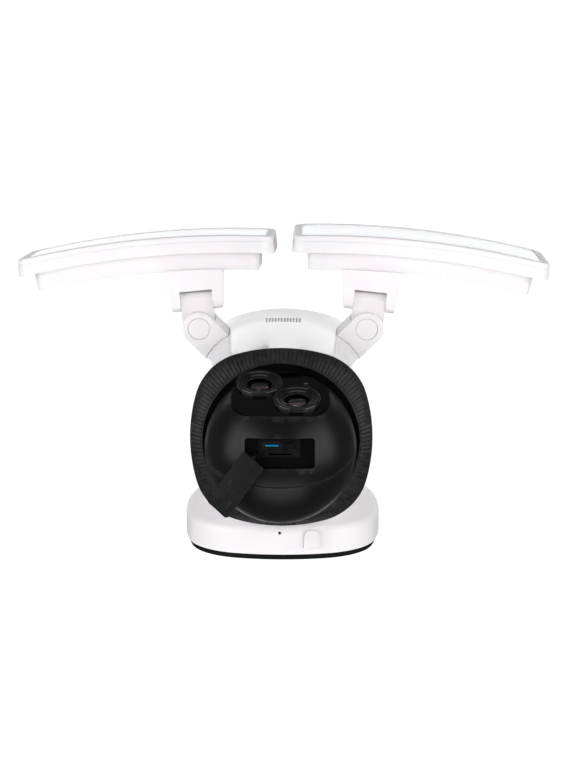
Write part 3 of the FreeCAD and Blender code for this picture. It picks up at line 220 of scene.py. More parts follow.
def softened(node, body, finish_slot, material, width=0.0, steps=3):
    """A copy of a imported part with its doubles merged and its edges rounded, standing for it."""
    mesh = nodes[node].data.copy()
    mesh = round_edges(mesh, width, steps)
    mesh.set_sharp_from_angle(angle=SMOOTH)
    return keep(node + "_moulding", mesh, body, finish_slot, material, node)


def give(material, *names):
    """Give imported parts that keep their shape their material."""
    for name in names:
        nodes[name].data.materials.clear()
        nodes[name].data.materials.append(material)


warm_white = moulded("warm_white_plastic", (0.84, 0.814, 0.828), 0.42, grain=3200, depth=0.12,
                     Subsurface_Weight=0.08, Subsurface_Scale=0.002)
gasket_rubber = moulded("gasket_rubber", (0.004, 0.004, 0.004), 0.7, grain=1400, depth=0.5,
                        worn=(0.02, 0.02, 0.02), Specular_IOR_Level=0.15)
softened("wall_gasket", "housing", "wall_gasket_rubber", gasket_rubber, 0.5 * MM)
softened("base_back_ring", "housing", "base_plastic", warm_white, 0.22 * MM)
softened("base_shell", "housing", "base_plastic", warm_white, 0.22 * MM, steps=2)
softened("screw_plug", "housing", "base_plastic", warm_white, 0.3 * MM)

# ---------------------------------------------------------------- bracket, screws and microphone
# Behind the base a pressed zinc-plated bracket bolts to the outlet box. A lock screw under the
# plug holds the base on it, and a small microphone sits behind its hole in the base's underside.


def plated(name, colour, roughness, streak):
    """Plated steel: fine streaks along one direction in its roughness and its surface."""
    made, tree, shader = finish(name, {"Metallic": 1.0})
    place = tree.nodes.new("ShaderNodeTexCoord")
    stretch = tree.nodes.new("ShaderNodeMapping")
    stretch.inputs["Scale"].default_value = streak
    lines = tree.nodes.new("ShaderNodeTexNoise")
    lines.inputs["Scale"].default_value = 900.0
    lines.inputs["Detail"].default_value = 4.0
    tree.links.new(place.outputs["Object"], stretch.inputs["Vector"])
    tree.links.new(stretch.outputs["Vector"], lines.inputs["Vector"])
    tree.links.new(spread(tree, lines.outputs["Fac"], roughness * 0.7, roughness * 1.3),
                   shader.inputs["Roughness"])
    tint = tree.nodes.new("ShaderNodeHueSaturation")
    tint.inputs["Color"].default_value = (*colour, 1)
    tree.links.new(spread(tree, noise(tree, 60.0), 0.88, 1.08), tint.inputs["Value"])
    tree.links.new(tint.outputs["Color"], shader.inputs["Base Color"])
    scratch = tree.nodes.new("ShaderNodeBump")
    scratch.inputs["Strength"].default_value = 0.15
    scratch.inputs["Distance"].default_value = 0.02 * MM
    tree.links.new(lines.outputs["Fac"], scratch.inputs["Height"])
    tree.links.new(scratch.outputs["Normal"], shader.inputs["Normal"])
    return made


zinc = plated("zinc_plate", (0.62, 0.62, 0.63), 0.34, (1, 1, 0.08))
screw_steel = plated("screw_steel", (0.66, 0.66, 0.68), 0.28, (1, 1, 1))
mesh_black = moulded("sound_mesh", (0.01, 0.01, 0.01), 0.8, grain=5000, depth=0.8)
terminal_plastic = moulded("terminal_plastic", (0.25, 0.25, 0.26), 0.5)
softened("wall_bracket", "housing", "bracket_steel", zinc, 0.25 * MM, steps=2)
give(screw_steel, "lock_screw", "base_screws")
give(mesh_black, "microphone")
give(terminal_plastic, "terminal_block")

# ---------------------------------------------------------------- barrel
# The upright barrel is a gloss white moulding with a speaker grille of fine slits in its front.
# A separate cap with a rolled edge snaps into its top.

cool_gloss = moulded("cool_gloss_white", (0.82, 0.825, 0.835), 0.16, grain=900, depth=0.03,
                     Coat_Weight=0.6, Coat_Roughness=0.06)
softened("body_shell", "housing", "barrel_gloss", cool_gloss, 0.18 * MM, steps=2)
softened("top_cap", "housing", "barrel_gloss", cool_gloss, 0.3 * MM)

# ---------------------------------------------------------------- grille cloth
# A pale acoustic cloth is glued inside the barrel and pressed up into the slits. It keeps insects
# and dust out of the speaker, and makes the slits look light from outside.

barrel_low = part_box("body_shell")[0]
CLOTH_HALF, CLOTH_LOW, CLOTH_HIGH = 11.0 * MM, 13.0 * MM, 28.0 * MM
CLOTH_BACK, CLOTH_THICK = 3.3 * MM, 0.3 * MM
SLITS, SLIT_PITCH, SLIT_HALF = 12, 1.6 * MM, 0.4 * MM
SLIT_LOW, SLIT_HIGH, SLIT_FACE = 15.05 * MM, 25.95 * MM, 0.85 * MM
grille_cloth = moulded("grille_cloth", (0.70, 0.70, 0.71), 0.9, grain=3500, depth=1.0)


def block(x, y, z):
    """The points and faces of a block between low and high sides."""
    corners = [(a, b, c) for a in x for b in y for c in z]
    sides = [(0, 1, 3, 2), (4, 6, 7, 5), (0, 4, 5, 1), (2, 3, 7, 6), (0, 2, 6, 4), (1, 5, 7, 3)]
    return corners, sides


back = barrel_low.y + CLOTH_BACK
points, faces = block((-CLOTH_HALF, CLOTH_HALF), (back - CLOTH_THICK, back), (CLOTH_LOW, CLOTH_HIGH))
for i in range(SLITS):
    middle = (i - (SLITS - 1) / 2) * SLIT_PITCH
    fold = block((middle - SLIT_HALF, middle + SLIT_HALF),
                 (barrel_low.y + SLIT_FACE, back - CLOTH_THICK / 2), (SLIT_LOW, SLIT_HIGH))
    faces += [[corner + len(points) for corner in side] for side in fold[1]]
    points += fold[0]
cloth = bpy.data.meshes.new("cloth")
cloth.from_pydata(points, [], faces)
keep("grille_cloth", round_edges(cloth, 0.1 * MM, 2), "housing", "speaker_black", grille_cloth)

# ---------------------------------------------------------------- ribbed ring
# The sloping ring under the barrel runs from the barrel's soft square to the round hole that the
# ball looks out of. It is matte black, moulded with fine ribs that point at the ball.


def squircle(half, corner, bulge, count):
    """Points evenly spaced along a soft square of eight tangent arcs."""
    reach = half - corner - bulge
    side = half + (2 * reach ** 2 - (half - corner) ** 2) / (2 * bulge)
    lean = math.atan2(reach, reach + side - half)
    arcs = []
    for quarter in range(4):
        turn = Matrix.Rotation(quarter * math.pi / 2, 2)
        arcs.append((turn @ Vector((half - side, 0)), side, quarter * math.pi / 2 - lean, 2 * lean))
        arcs.append((turn @ Vector((reach, reach)), corner, quarter * math.pi / 2 + lean,
                     math.pi / 2 - 2 * lean))
    whole = sum(radius * sweep for _, radius, _, sweep in arcs)
    points = []
    for i in range(count):
        along = whole * i / count
        for centre, radius, first, sweep in arcs:
            if along <= radius * sweep:
                angle = first + along / radius
                points.append(centre + radius * Vector((math.cos(angle), math.sin(angle))))
                break
            along -= radius * sweep
    return points, whole


def woven(rings, closed):
    """A mesh from rings of points with equal counts; closed joins the last ring to the first."""
    mesh = bpy.data.meshes.new("woven")
    count = len(rings[0])
    points = [point for ring in rings for point in ring]
    faces = []
    for i in range(len(rings) if closed else len(rings) - 1):
        low, high = i * count, (i + 1) % len(rings) * count
        for j in range(count):
            k = (j + 1) % count
            faces.append((low + j, low + k, high + k, high + j))
    mesh.from_pydata(points, [], faces)
    return mesh


def tidied(mesh, sharp=SMOOTH):
    """Merge doubles, dissolve degenerate edges, turn the faces outwards and shade the mesh smooth."""
    work = bmesh.new()
    work.from_mesh(mesh)
    bmesh.ops.remove_doubles(work, verts=work.verts, dist=WELD)
    bmesh.ops.dissolve_degenerate(work, edges=work.edges, dist=WELD / 10)
    bmesh.ops.recalc_face_normals(work, faces=work.faces)
    work.to_mesh(mesh)
    work.free()
    mesh.shade_smooth()
    mesh.set_sharp_from_angle(angle=sharp)
    return mesh


def grown(source, tree, **values):
    """The plain mesh that a Geometry Nodes tree makes from source, with its named inputs set."""
    holder = bpy.data.objects.new("source", source)
    bpy.context.scene.collection.objects.link(holder)
    modifier = holder.modifiers.new(tree.name, "NODES")
    modifier.node_group = tree
    for item in tree.interface.items_tree:
        if item.item_type == "SOCKET" and item.in_out == "INPUT" and item.name in values:
            modifier[item.identifier] = values[item.name]
    return evaluated(holder)


def geometry_tree(name, inputs):
    """An empty Geometry Nodes tree with named inputs, and helpers to add and join its nodes."""
    tree = bpy.data.node_groups.new(name, "GeometryNodeTree")
    tree.interface.new_socket("Geometry", in_out="INPUT", socket_type="NodeSocketGeometry")
    tree.interface.new_socket("Geometry", in_out="OUTPUT", socket_type="NodeSocketGeometry")
    for label, kind in inputs:
        tree.interface.new_socket(label, in_out="INPUT", socket_type="NodeSocket" + kind)

    def add(kind, **settings):
        made = tree.nodes.new(kind)
        for setting, choice in settings.items():
            setattr(made, setting, choice)
        return made

    return tree, add("NodeGroupInput"), add("NodeGroupOutput"), add, tree.links.new


def repeated(tree_parts, points, thing, turn, scale):
    """End a tree: the object in the input called thing on each point, made real, with its finish."""
    inlet, outlet, add, join = tree_parts
    shape = add("GeometryNodeObjectInfo")
    repeat = add("GeometryNodeInstanceOnPoints")
    real = add("GeometryNodeRealizeInstances")
    paint = add("GeometryNodeSetMaterial")
    join(inlet.outputs[thing], shape.inputs["Object"])
    join(points, repeat.inputs["Points"])
    join(shape.outputs["Geometry"], repeat.inputs["Instance"])
    join(turn, repeat.inputs["Rotation"])
    join(scale, repeat.inputs["Scale"])
    join(repeat.outputs["Instances"], real.inputs["Geometry"])
    join(real.outputs["Geometry"], paint.inputs["Geometry"])
    join(inlet.outputs["Finish"], paint.inputs["Material"])
    join(paint.outputs["Geometry"], outlet.inputs["Geometry"])


def capped(mesh):
    """Close a mesh's open ends with flat faces."""
    work = bmesh.new()
    work.from_mesh(mesh)
    bmesh.ops.holes_fill(work, edges=[edge for edge in work.edges if edge.is_boundary])
    work.to_mesh(mesh)
    work.free()
    return mesh


ring_low, ring_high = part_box("ribbed_ring")
RING_HALF = (ring_high.x - ring_low.x) / 2
RING_CORNER, RING_BULGE = 30.0 * MM, 2.0 * MM
RING_RISE = 4.5 * MM
RING_HOLE, RING_BORE = 40.2 * MM, 39.6 * MM
SKIRT_INSET = 2.7 * MM
RING_AXIS = Vector((0, (ring_low.y + ring_high.y) / 2, 0))
SLOPE_TOP = ring_high.z - RING_RISE
RIBS, STEPS_PER_RIB = 132, 2
RIB_SHARE, RIB_RISE = 0.9, 0.34 * MM

outline, around = squircle(RING_HALF, RING_CORNER, RING_BULGE, RIBS * STEPS_PER_RIB)


def ring_at(z, inset=0.0, radius=None):
    """One ring of points at height z: the outline drawn in by inset, or a circle of that radius."""
    made = []
    for point in outline:
        flat = point.normalized() * (radius if radius else point.length - inset)
        made.append((flat.x, flat.y + RING_AXIS.y, z))
    return made


LIP = 0.35 * MM
RING_CREASE = math.radians(25)
RIB_CREASE = math.radians(50)
ring_sections = [
    ring_at(ring_high.z, SKIRT_INSET),
    ring_at(SLOPE_TOP, SKIRT_INSET),
    ring_at(SLOPE_TOP, 0.0),
    ring_at(SLOPE_TOP - LIP, LIP / 4),
    ring_at(ring_low.z + LIP / 2, radius=RING_HOLE + LIP),
    ring_at(ring_low.z, radius=RING_HOLE - LIP / 2),
    ring_at(ring_low.z + LIP, radius=RING_BORE),
    ring_at(ring_high.z, radius=RING_BORE),
]
ring_black = moulded("ring_black", (0.0045, 0.0045, 0.005), 0.42, grain=2200, depth=0.3,
                     worn=(0.035, 0.035, 0.038), Specular_IOR_Level=0.22)
keep("ring_body", tidied(woven(ring_sections, True), RING_CREASE), "housing", "ring_black",
     ring_black, "ribbed_ring")

# One rib, one unit long, wide and high, narrower towards the ball and rounded over its crest.
RIB_FORM = [(-0.5, -0.4), (-0.47, 0.55), (-0.3, 0.95), (0.3, 0.95), (0.47, 0.55), (0.5, -0.4)]
RIB_STATIONS = [(0.035, 0.0), (0.06, 1.0), (0.95, 1.0), (0.985, 0.25)]
TAPER = 1 - RING_HOLE / RING_HALF
rib = capped(woven([[(x, y * (1 - TAPER * x), z * crest if z > 0 else z) for y, z in RIB_FORM]
                    for x, crest in RIB_STATIONS], False))

ribs_tree, *parts = geometry_tree("ribs_to_the_ball", [
    ("Ribs", "Int"), ("Hole Radius", "Float"), ("Hole Height", "Float"), ("Axis", "Vector"),
    ("Rib Width", "Float"), ("Rib Height", "Float"), ("Rib", "Object"), ("Finish", "Material"),
])
inlet, outlet, add, join = parts
to_curve = add("GeometryNodeMeshToCurve")
to_points = add("GeometryNodeCurveToPoints", mode="COUNT")
here = add("GeometryNodeInputPosition")
from_axis = add("ShaderNodeVectorMath", operation="SUBTRACT")
flatten = add("ShaderNodeVectorMath", operation="MULTIPLY")
flatten.inputs[1].default_value = (1, 1, 0)
aim = add("ShaderNodeVectorMath", operation="NORMALIZE")
inner = add("ShaderNodeVectorMath", operation="SCALE")
lift = add("ShaderNodeCombineXYZ")
inner_high = add("ShaderNodeVectorMath", operation="ADD")
inner_spot = add("ShaderNodeVectorMath", operation="ADD")
along = add("ShaderNodeVectorMath", operation="SUBTRACT")
length = add("ShaderNodeVectorMath", operation="LENGTH")
size = add("ShaderNodeCombineXYZ")
facing = add("FunctionNodeAxesToRotation", primary_axis="X", secondary_axis="Z")
facing.inputs["Secondary Axis"].default_value = (0, 0, -1)
join(inlet.outputs["Geometry"], to_curve.inputs["Mesh"])
join(to_curve.outputs["Curve"], to_points.inputs["Curve"])
join(inlet.outputs["Ribs"], to_points.inputs["Count"])
join(here.outputs["Position"], from_axis.inputs[0])
join(inlet.outputs["Axis"], from_axis.inputs[1])
join(from_axis.outputs["Vector"], flatten.inputs[0])
join(flatten.outputs["Vector"], aim.inputs[0])
join(aim.outputs["Vector"], inner.inputs[0])
join(inlet.outputs["Hole Radius"], inner.inputs["Scale"])
join(inlet.outputs["Hole Height"], lift.inputs["Z"])
join(inner.outputs["Vector"], inner_high.inputs[0])
join(lift.outputs["Vector"], inner_high.inputs[1])
join(inner_high.outputs["Vector"], inner_spot.inputs[0])
join(inlet.outputs["Axis"], inner_spot.inputs[1])
join(inner_spot.outputs["Vector"], along.inputs[0])
join(here.outputs["Position"], along.inputs[1])
join(along.outputs["Vector"], length.inputs[0])
join(along.outputs["Vector"], facing.inputs["Primary Axis"])
join(length.outputs["Value"], size.inputs["X"])
join(inlet.outputs["Rib Width"], size.inputs["Y"])
join(inlet.outputs["Rib Height"], size.inputs["Z"])
repeated(parts, to_points.outputs["Points"], "Rib", facing.outputs["Rotation"], size.outputs["Vector"])

loop = bpy.data.meshes.new("ring_outline")
edge_points = ring_at(SLOPE_TOP - LIP, LIP / 4)
loop.from_pydata(edge_points, [(i, (i + 1) % len(edge_points)) for i in range(len(edge_points))], [])
ribs = grown(loop, ribs_tree, **{
    "Ribs": RIBS, "Hole Radius": RING_HOLE + LIP, "Hole Height": ring_low.z + LIP / 2,
    "Axis": RING_AXIS, "Rib Width": around / RIBS * RIB_SHARE, "Rib Height": RIB_RISE,
    "Rib": bpy.data.objects.new("rib", rib), "Finish": ring_black,
})
keep("ring_ribs", tidied(ribs, RIB_CREASE), "housing", "ring_black", ring_black, "ribbed_ring")

# ---------------------------------------------------------------- works inside the barrel
# A black chassis plate carries the pan bearing, the motor and the circuit boards. The speaker
# faces the slits, the siren is under the cap, and a brass foil strip is the aerial.

inner_black = moulded("chassis_plastic", (0.03, 0.03, 0.033), 0.55, grain=1800, depth=0.4)
acetal = moulded("gear_acetal", (0.68, 0.65, 0.56), 0.35, grain=1500, depth=0.1)
motor_steel = plated("motor_can", (0.55, 0.55, 0.57), 0.3, (0.1, 0.1, 1))
cone_black = moulded("speaker_cone", (0.02, 0.02, 0.02), 0.7, grain=1600, depth=0.6)
brass = plated("aerial_brass", (0.72, 0.52, 0.24), 0.25, (1, 0.1, 1))
solder_green, tree, shader = finish("solder_mask", {"Coat Weight": 0.3})
tracks = tree.nodes.new("ShaderNodeTexBrick")
tracks.inputs["Scale"].default_value = 260.0
tracks.inputs["Mortar Size"].default_value = 0.03
tracks.inputs["Color1"].default_value = (0.010, 0.090, 0.045, 1)
tracks.inputs["Color2"].default_value = (0.012, 0.110, 0.055, 1)
tracks.inputs["Mortar"].default_value = (0.030, 0.170, 0.090, 1)
tree.links.new(tree.nodes.new("ShaderNodeTexCoord").outputs["Object"], tracks.inputs["Vector"])
tree.links.new(tracks.outputs["Color"], shader.inputs["Base Color"])
tree.links.new(spread(tree, noise(tree, 120.0), 0.3, 0.45), shader.inputs["Roughness"])
give(inner_black, "chassis_plate", "pan_yoke")
give(acetal, "pan_gear", "pan_pinion", "tilt_gear", "tilt_pinion")
give(motor_steel, "pan_bearing", "pan_motor", "tilt_motor")
give(solder_green, "main_board", "power_board", "sensor_board")
give(cone_black, "speaker", "siren")
give(brass, "antenna")
give(screw_steel, "tilt_trunnions")

# ---------------------------------------------------------------- ball
# Two satin charcoal half shells meet on a fine seam round the ball. The front one has the
# openings for the lens window and for the port compartment.

charcoal = moulded("satin_charcoal", (0.006, 0.006, 0.0068), 0.34, grain=4200, depth=0.16,
                   worn=(0.03, 0.03, 0.033), Specular_IOR_Level=0.25)
softened("ball_front_shell", "camera_ball", "ball_charcoal", charcoal, 0.2 * MM, steps=2)
softened("ball_rear_shell", "camera_ball", "ball_charcoal", charcoal, 0.12 * MM, steps=2)

# ---------------------------------------------------------------- lens window
# A gloss black pane fills the front of the ball, with a bezel of stepped rings round each lens
# and a small light sensor beside them. The lenses are coated glass in blackened barrels.

window_black = moulded("window_black", (0.0015, 0.0015, 0.0018), 0.045, grain=300, depth=0.01,
                       Specular_IOR_Level=0.3)
softened("lens_window", "camera_ball", "window_black", window_black, 0.35 * MM)

BALL_CENTRE = Vector(joints["camera_tilt"]["pos_m"])
LENS_DIP = math.radians(18.2)
EYE = Matrix.Translation(BALL_CENTRE) @ Matrix.Rotation(LENS_DIP, 4, "X")
WINDOW_FACE = 29.2 * MM


def lathe(profile, spot, turns=96):
    """Turn a closed profile of (radius, height out of the window) about a lens axis at spot."""
    rings = []
    for radius, height in profile:
        ring = []
        for i in range(turns):
            angle = 2 * math.pi * i / turns
            local = (spot[0] + radius * math.cos(angle), -WINDOW_FACE - height,
                     spot[1] + radius * math.sin(angle))
            ring.append(EYE @ Vector(local))
        rings.append(ring)
    return tidied(woven(rings, True))


def lens_spot(node):
    """A lens's centre across the window, from its packed bezel."""
    low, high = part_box(node)
    local = EYE.inverted() @ ((low + high) / 2)
    return local.x, local.z


def arc(centre, radius, first, last, count):
    """Points on an arc of a profile, from one angle to another in degrees."""
    turns = [math.radians(first + (last - first) * i / count) for i in range(count + 1)]
    return [(centre[0] + radius * math.cos(t), centre[1] + radius * math.sin(t)) for t in turns]


BEZEL_OUT, BEZEL_TALL, LENS_HOLE = 11.7 * MM, 2.0 * MM, 6.4 * MM
BEZEL_LIP, BEZEL_SOFT, BEZEL_STEPS, STEP_START = 1.2 * MM, 0.45 * MM, 2, 0.6 * MM


def bezel_profile():
    """A rounded outer wall and rim, then a funnel that steps down to the lens hole."""
    made = [(LENS_HOLE, 0.0), (LENS_HOLE, STEP_START - 0.05 * MM)]
    mouth = BEZEL_OUT - BEZEL_LIP
    step = (mouth - LENS_HOLE) / BEZEL_STEPS
    rise = (BEZEL_TALL - STEP_START) / BEZEL_STEPS
    for i in range(BEZEL_STEPS):
        radius, height = LENS_HOLE + i * step, STEP_START + i * rise
        made += [(radius + 0.12 * MM, height), (radius + step * 0.5, height + 0.06 * MM),
                 (radius + step * 0.72, height + rise * 0.55), (radius + step * 0.94, height + rise * 0.94)]
    made += [(mouth + 0.1 * MM, BEZEL_TALL - 0.05 * MM), (mouth + 0.25 * MM, BEZEL_TALL)]
    made += arc((BEZEL_OUT - BEZEL_SOFT, BEZEL_TALL - BEZEL_SOFT), BEZEL_SOFT, 90, 0, 5)
    made += [(BEZEL_OUT, 0.0)]
    return made


LENS_R, LENS_CROWN, LENS_TOP, LENS_RIM = 6.25 * MM, 9.0 * MM, 0.2 * MM, 0.5 * MM
BARREL_R, BARREL_MOUTH, BARREL_STEPS = 7.0 * MM, 5.9 * MM, 5
BARREL_FRONT, BARREL_BACK, SEAT_DEEP = -2.0 * MM, 11.0 * MM - WINDOW_FACE, 1.0 * MM


def dome(radius, crown, top, thick, count=14):
    """A lens profile: a domed front of the given crown radius over a flatter back."""
    reach = math.asin(radius / crown)
    front = [(crown * math.sin(reach * i / count), top - crown * (1 - math.cos(reach * i / count)))
             for i in range(count + 1)]
    edge = front[-1][1]
    return front + [(radius, edge - thick), (0.0, edge - thick)]


def barrel_profile(throat, depth):
    """A blackened barrel with baffle steps that narrow to the inner element's seat."""
    made = [(BARREL_R, BARREL_FRONT), (BARREL_MOUTH, BARREL_FRONT)]
    narrower = (BARREL_MOUTH - throat) / BARREL_STEPS
    for i in range(1, BARREL_STEPS + 1):
        radius, height = BARREL_MOUTH - narrower * i, BARREL_FRONT - depth * i / BARREL_STEPS
        made += [(radius + narrower, height + 0.1 * MM), (radius, height)]
    seat = BARREL_FRONT - depth - SEAT_DEEP
    return made + [(throat, seat), (0.0, seat), (0.0, BARREL_BACK), (BARREL_R, BARREL_BACK)]


bezel_black = moulded("bezel_black", (0.002, 0.002, 0.0023), 0.16, grain=1200, depth=0.05,
                      worn=(0.05, 0.05, 0.055), Coat_Weight=0.5, Coat_Roughness=0.08)
baffle_black = moulded("baffle_black", (0.002, 0.002, 0.0024), 0.35, grain=1500, depth=0.2)


def coated(name, near, far, clear, glint):
    """Coated glass: clear, or nearly black, with a tint that changes towards the edge. On the nearly black
    inner elements that tint is a painted reflection, paler and coloured at the rim; on the clear glass it
    tints what passes through.
    """
    made, tree, shader = finish(name, {
        "Roughness": 0.02, "IOR": 1.5, "Transmission Weight": clear, "Coat Weight": 0.8,
        "Coat Roughness": 0.01, "Coat IOR": 1.5, "Coat Tint": (*glint, 1), "Specular Tint": (*glint, 1),
    })
    # Colour set by viewing angle: on the opaque inner elements this is a painted reflection towards the rim.
    facing = tree.nodes.new("ShaderNodeLayerWeight")
    facing.inputs["Blend"].default_value = 0.35
    tint = tree.nodes.new("ShaderNodeValToRGB")
    tint.color_ramp.elements[0].color = (*near, 1)
    tint.color_ramp.elements[1].color = (*far, 1)
    tree.links.new(facing.outputs["Facing"], tint.inputs["Fac"])
    tree.links.new(tint.outputs["Color"], shader.inputs["Base Color"])
    return made


front_glass = coated("front_lens_coating", (0.90, 0.88, 0.90), (0.62, 0.50, 0.56), 1.0, (0.9, 0.8, 0.85))
# The inner elements' far colours are painted rim reflections: pale pink on the wide lens, red on the tele.
inner_glass = {
    "wide": coated("inner_coating_painted_rim_wide", (0.05, 0.015, 0.02), (0.30, 0.25, 0.22), 0.0, (1.0, 0.78, 0.82)),
    "tele": coated("inner_coating_painted_rim_tele", (0.01, 0.004, 0.006), (0.25, 0.07, 0.08), 0.0, (0.9, 0.35, 0.32)),
}
BARRELS = (("wide", 3.0 * MM, 5.5 * MM), ("tele", 4.2 * MM, 3.5 * MM))
for tag, throat, depth in BARRELS:
    spot = lens_spot(tag + "_bezel")
    keep(tag + "_bezel_rings", lathe(bezel_profile(), spot), "camera_ball", "bezel_black",
         bezel_black, tag + "_bezel")
    glass = dome(LENS_R, LENS_CROWN, LENS_TOP, LENS_RIM)
    keep(tag + "_lens_glass", lathe(glass, spot), "camera_ball", "lens_glass", front_glass,
         tag + "_lens")
    keep(tag + "_lens_barrel", lathe(barrel_profile(throat, depth), spot), "camera_ball",
         "bezel_black", baffle_black, "lens_barrels")
    top = BARREL_FRONT - depth + 0.8 * MM
    inner = dome(throat - 0.1 * MM, throat * 1.5, top, 0.4 * MM)
    keep(tag + "_inner_lens", lathe(inner, spot), "camera_ball", "lens_glass", inner_glass[tag])

SENSOR_SPOT, SENSOR_R = (12.6 * MM, 12.8 * MM), 1.3 * MM
sensor_profile = [(0.0, 0.02 * MM), (SENSOR_R * 0.6, 0.0), (SENSOR_R * 0.7, 0.25 * MM),
                  (SENSOR_R, 0.25 * MM), (SENSOR_R, -0.6 * MM), (0.0, -0.6 * MM)]
keep("light_sensor", lathe(sensor_profile, SENSOR_SPOT, 32), "camera_ball", "window_black",
     bezel_black)

# ---------------------------------------------------------------- ports
# A black compartment in the ball's underside holds the charging port, a card slot and a small
# button. A rubber flap on a swivelling tether covers them, and is swung out of the way.

port_black = moulded("port_black", (0.003, 0.003, 0.0033), 0.4, grain=2600, depth=0.25,
                     worn=(0.02, 0.02, 0.022), Specular_IOR_Level=0.15)
port_steel = plated("port_shell", (0.07, 0.07, 0.075), 0.3, (1, 1, 1))
tongue_blue = moulded("tongue_blue", (0.0, 0.21, 0.40), 0.35, grain=3000, depth=0.05)
softened("port_panel", "camera_ball", "port_black", port_black, 0.25 * MM, steps=2)
softened("card_slot", "camera_ball", "port_black", port_black, 0.1 * MM, steps=2)
softened("sync_button", "sync_button", "port_black", port_black, 0.2 * MM)
softened("usb_port", "camera_ball", "port_steel", port_steel, 0.06 * MM, steps=2)

PORT_TURN = math.radians(90 + 63.4)
PORT = EYE @ Matrix.Rotation(PORT_TURN, 4, "X")
STEP_FACE = 30.2 * MM


def slab(name, place, x, y, z, corner, soft, steps=6):
    """A block with rounded corners and soft edges, from its low and high sides in a local frame."""
    half_x, half_y = (x[1] - x[0]) / 2, (y[1] - y[0]) / 2
    mid_x, mid_y = (x[1] + x[0]) / 2, (y[1] + y[0]) / 2
    rings = []
    turns = [math.radians(90 * i / 3) for i in range(4)]
    levels = [(soft * (1 - math.sin(t)), z[0] + soft * (1 - math.cos(t))) for t in turns]
    levels += [(inset, z[1] - (height - z[0])) for inset, height in reversed(levels)]
    for inset, height in levels:
        ring, round_r = [], max(corner - inset, 0.02 * MM)
        for quarter in range(4):
            sx, sy = ((1, 1), (-1, 1), (-1, -1), (1, -1))[quarter]
            centre = (mid_x + sx * (half_x - inset - round_r), mid_y + sy * (half_y - inset - round_r))
            for i in range(steps + 1):
                angle = math.pi / 2 * (quarter + i / steps)
                flat = Vector((centre[0] + round_r * math.cos(angle),
                               centre[1] + round_r * math.sin(angle), height))
                ring.append(place @ flat)
        rings.append(ring)
    mesh = capped(woven(rings, False))
    mesh.name = name
    return mesh


def merged(meshes):
    """Several meshes as one."""
    work = bmesh.new()
    for mesh in meshes:
        work.from_mesh(mesh)
    made = bpy.data.meshes.new("merged")
    work.to_mesh(made)
    work.free()
    return made


TONGUE_X, TONGUE_Y = (-7.3 * MM, -0.7 * MM), (2.9 * MM, 3.9 * MM)
TONGUE_OUT = (STEP_FACE - 4.2 * MM, STEP_FACE - 0.35 * MM)
tongue = slab("tongue", PORT, TONGUE_X, TONGUE_Y, TONGUE_OUT, 0.2 * MM, 0.12 * MM, 3)
keep("charging_tongue", tidied(tongue), "camera_ball", "port_steel", tongue_blue)

# The flap's frame: its swivel pin runs out of the ball's centre and X lies along the flap.
swivel = joints["port_flap_swivel"]
flap_out = Vector(swivel["axis"]).normalized()
FLAP_TURN = math.radians(-127)
across = (Vector((1, 0, 0)) - flap_out * flap_out.x).normalized()
flap_along = across * math.cos(FLAP_TURN) + flap_out.cross(across) * math.sin(FLAP_TURN)
flap_side = flap_out.cross(flap_along)
facing = Matrix((flap_along, flap_side, flap_out)).transposed().to_4x4()
FLAP = Matrix.Translation(swivel["pos_m"]) @ facing
FLAP_X, FLAP_Y, FLAP_THICK = (-1.85 * MM, 31.15 * MM), (-4.35 * MM, 9.25 * MM), 2.5 * MM
FLAP_CORNER, FLAP_SOFT = 1.6 * MM, 0.55 * MM
PIN_SPAN, PIN_ENDS, PIN_SOFT = (-1.2 * MM, 1.2 * MM), (-8.3 * MM, 0.5 * MM), 0.2 * MM
# Raised marks on the flap's face: three bars, each as (x, y, length, height) in mm, and an outline.
MARK_PROUD, MARK_ROOT = 0.12 * MM, 0.35 * MM
BARS = ((21.5, 5.4, 5.2, 1.3), (12.6, -0.6, 4.0, 1.2), (24.0, -1.4, 3.0, 1.1))
OUTLINE_X, OUTLINE_Y, OUTLINE_WIDE = (11.0 * MM, 27.5 * MM), (1.2 * MM, 4.0 * MM), 0.35 * MM

flap_rubber = moulded("flap_rubber", (0.004, 0.004, 0.0045), 0.6, grain=1700, depth=0.35,
                      worn=(0.03, 0.03, 0.032), Specular_IOR_Level=0.2)
body = slab("flap", FLAP, FLAP_X, FLAP_Y, (0.0, FLAP_THICK - MARK_PROUD), FLAP_CORNER, FLAP_SOFT)
pin = slab("pin", FLAP, PIN_SPAN, PIN_SPAN, PIN_ENDS, PIN_SPAN[1], PIN_SOFT)
rise = (FLAP_THICK - MARK_ROOT, FLAP_THICK)
marks = []
for x, y, wide, tall in BARS:
    marks.append(slab("bar", FLAP, (x * MM, (x + wide) * MM), (y * MM, (y + tall) * MM), rise, 0.3 * MM,
                      0.1 * MM, 2))
for y in OUTLINE_Y:
    marks.append(slab("line", FLAP, OUTLINE_X, (y, y + OUTLINE_WIDE), rise, 0.1 * MM, 0.08 * MM, 2))
for x in (OUTLINE_X[0], OUTLINE_X[1] - OUTLINE_WIDE):
    along = (OUTLINE_Y[0], OUTLINE_Y[1] + OUTLINE_WIDE)
    marks.append(slab("line", FLAP, (x, x + OUTLINE_WIDE), along, rise, 0.1 * MM, 0.08 * MM, 2))
keep("flap_and_tether", tidied(merged([body, pin, *marks])), "port_flap", "flap_rubber", flap_rubber,
     "port_flap")

# ---------------------------------------------------------------- arms
# Each arm is a clevis moulded on the barrel's front corner and a link that turns on a flush
# round cap. The link's other end carries the lamp on a cross pin.

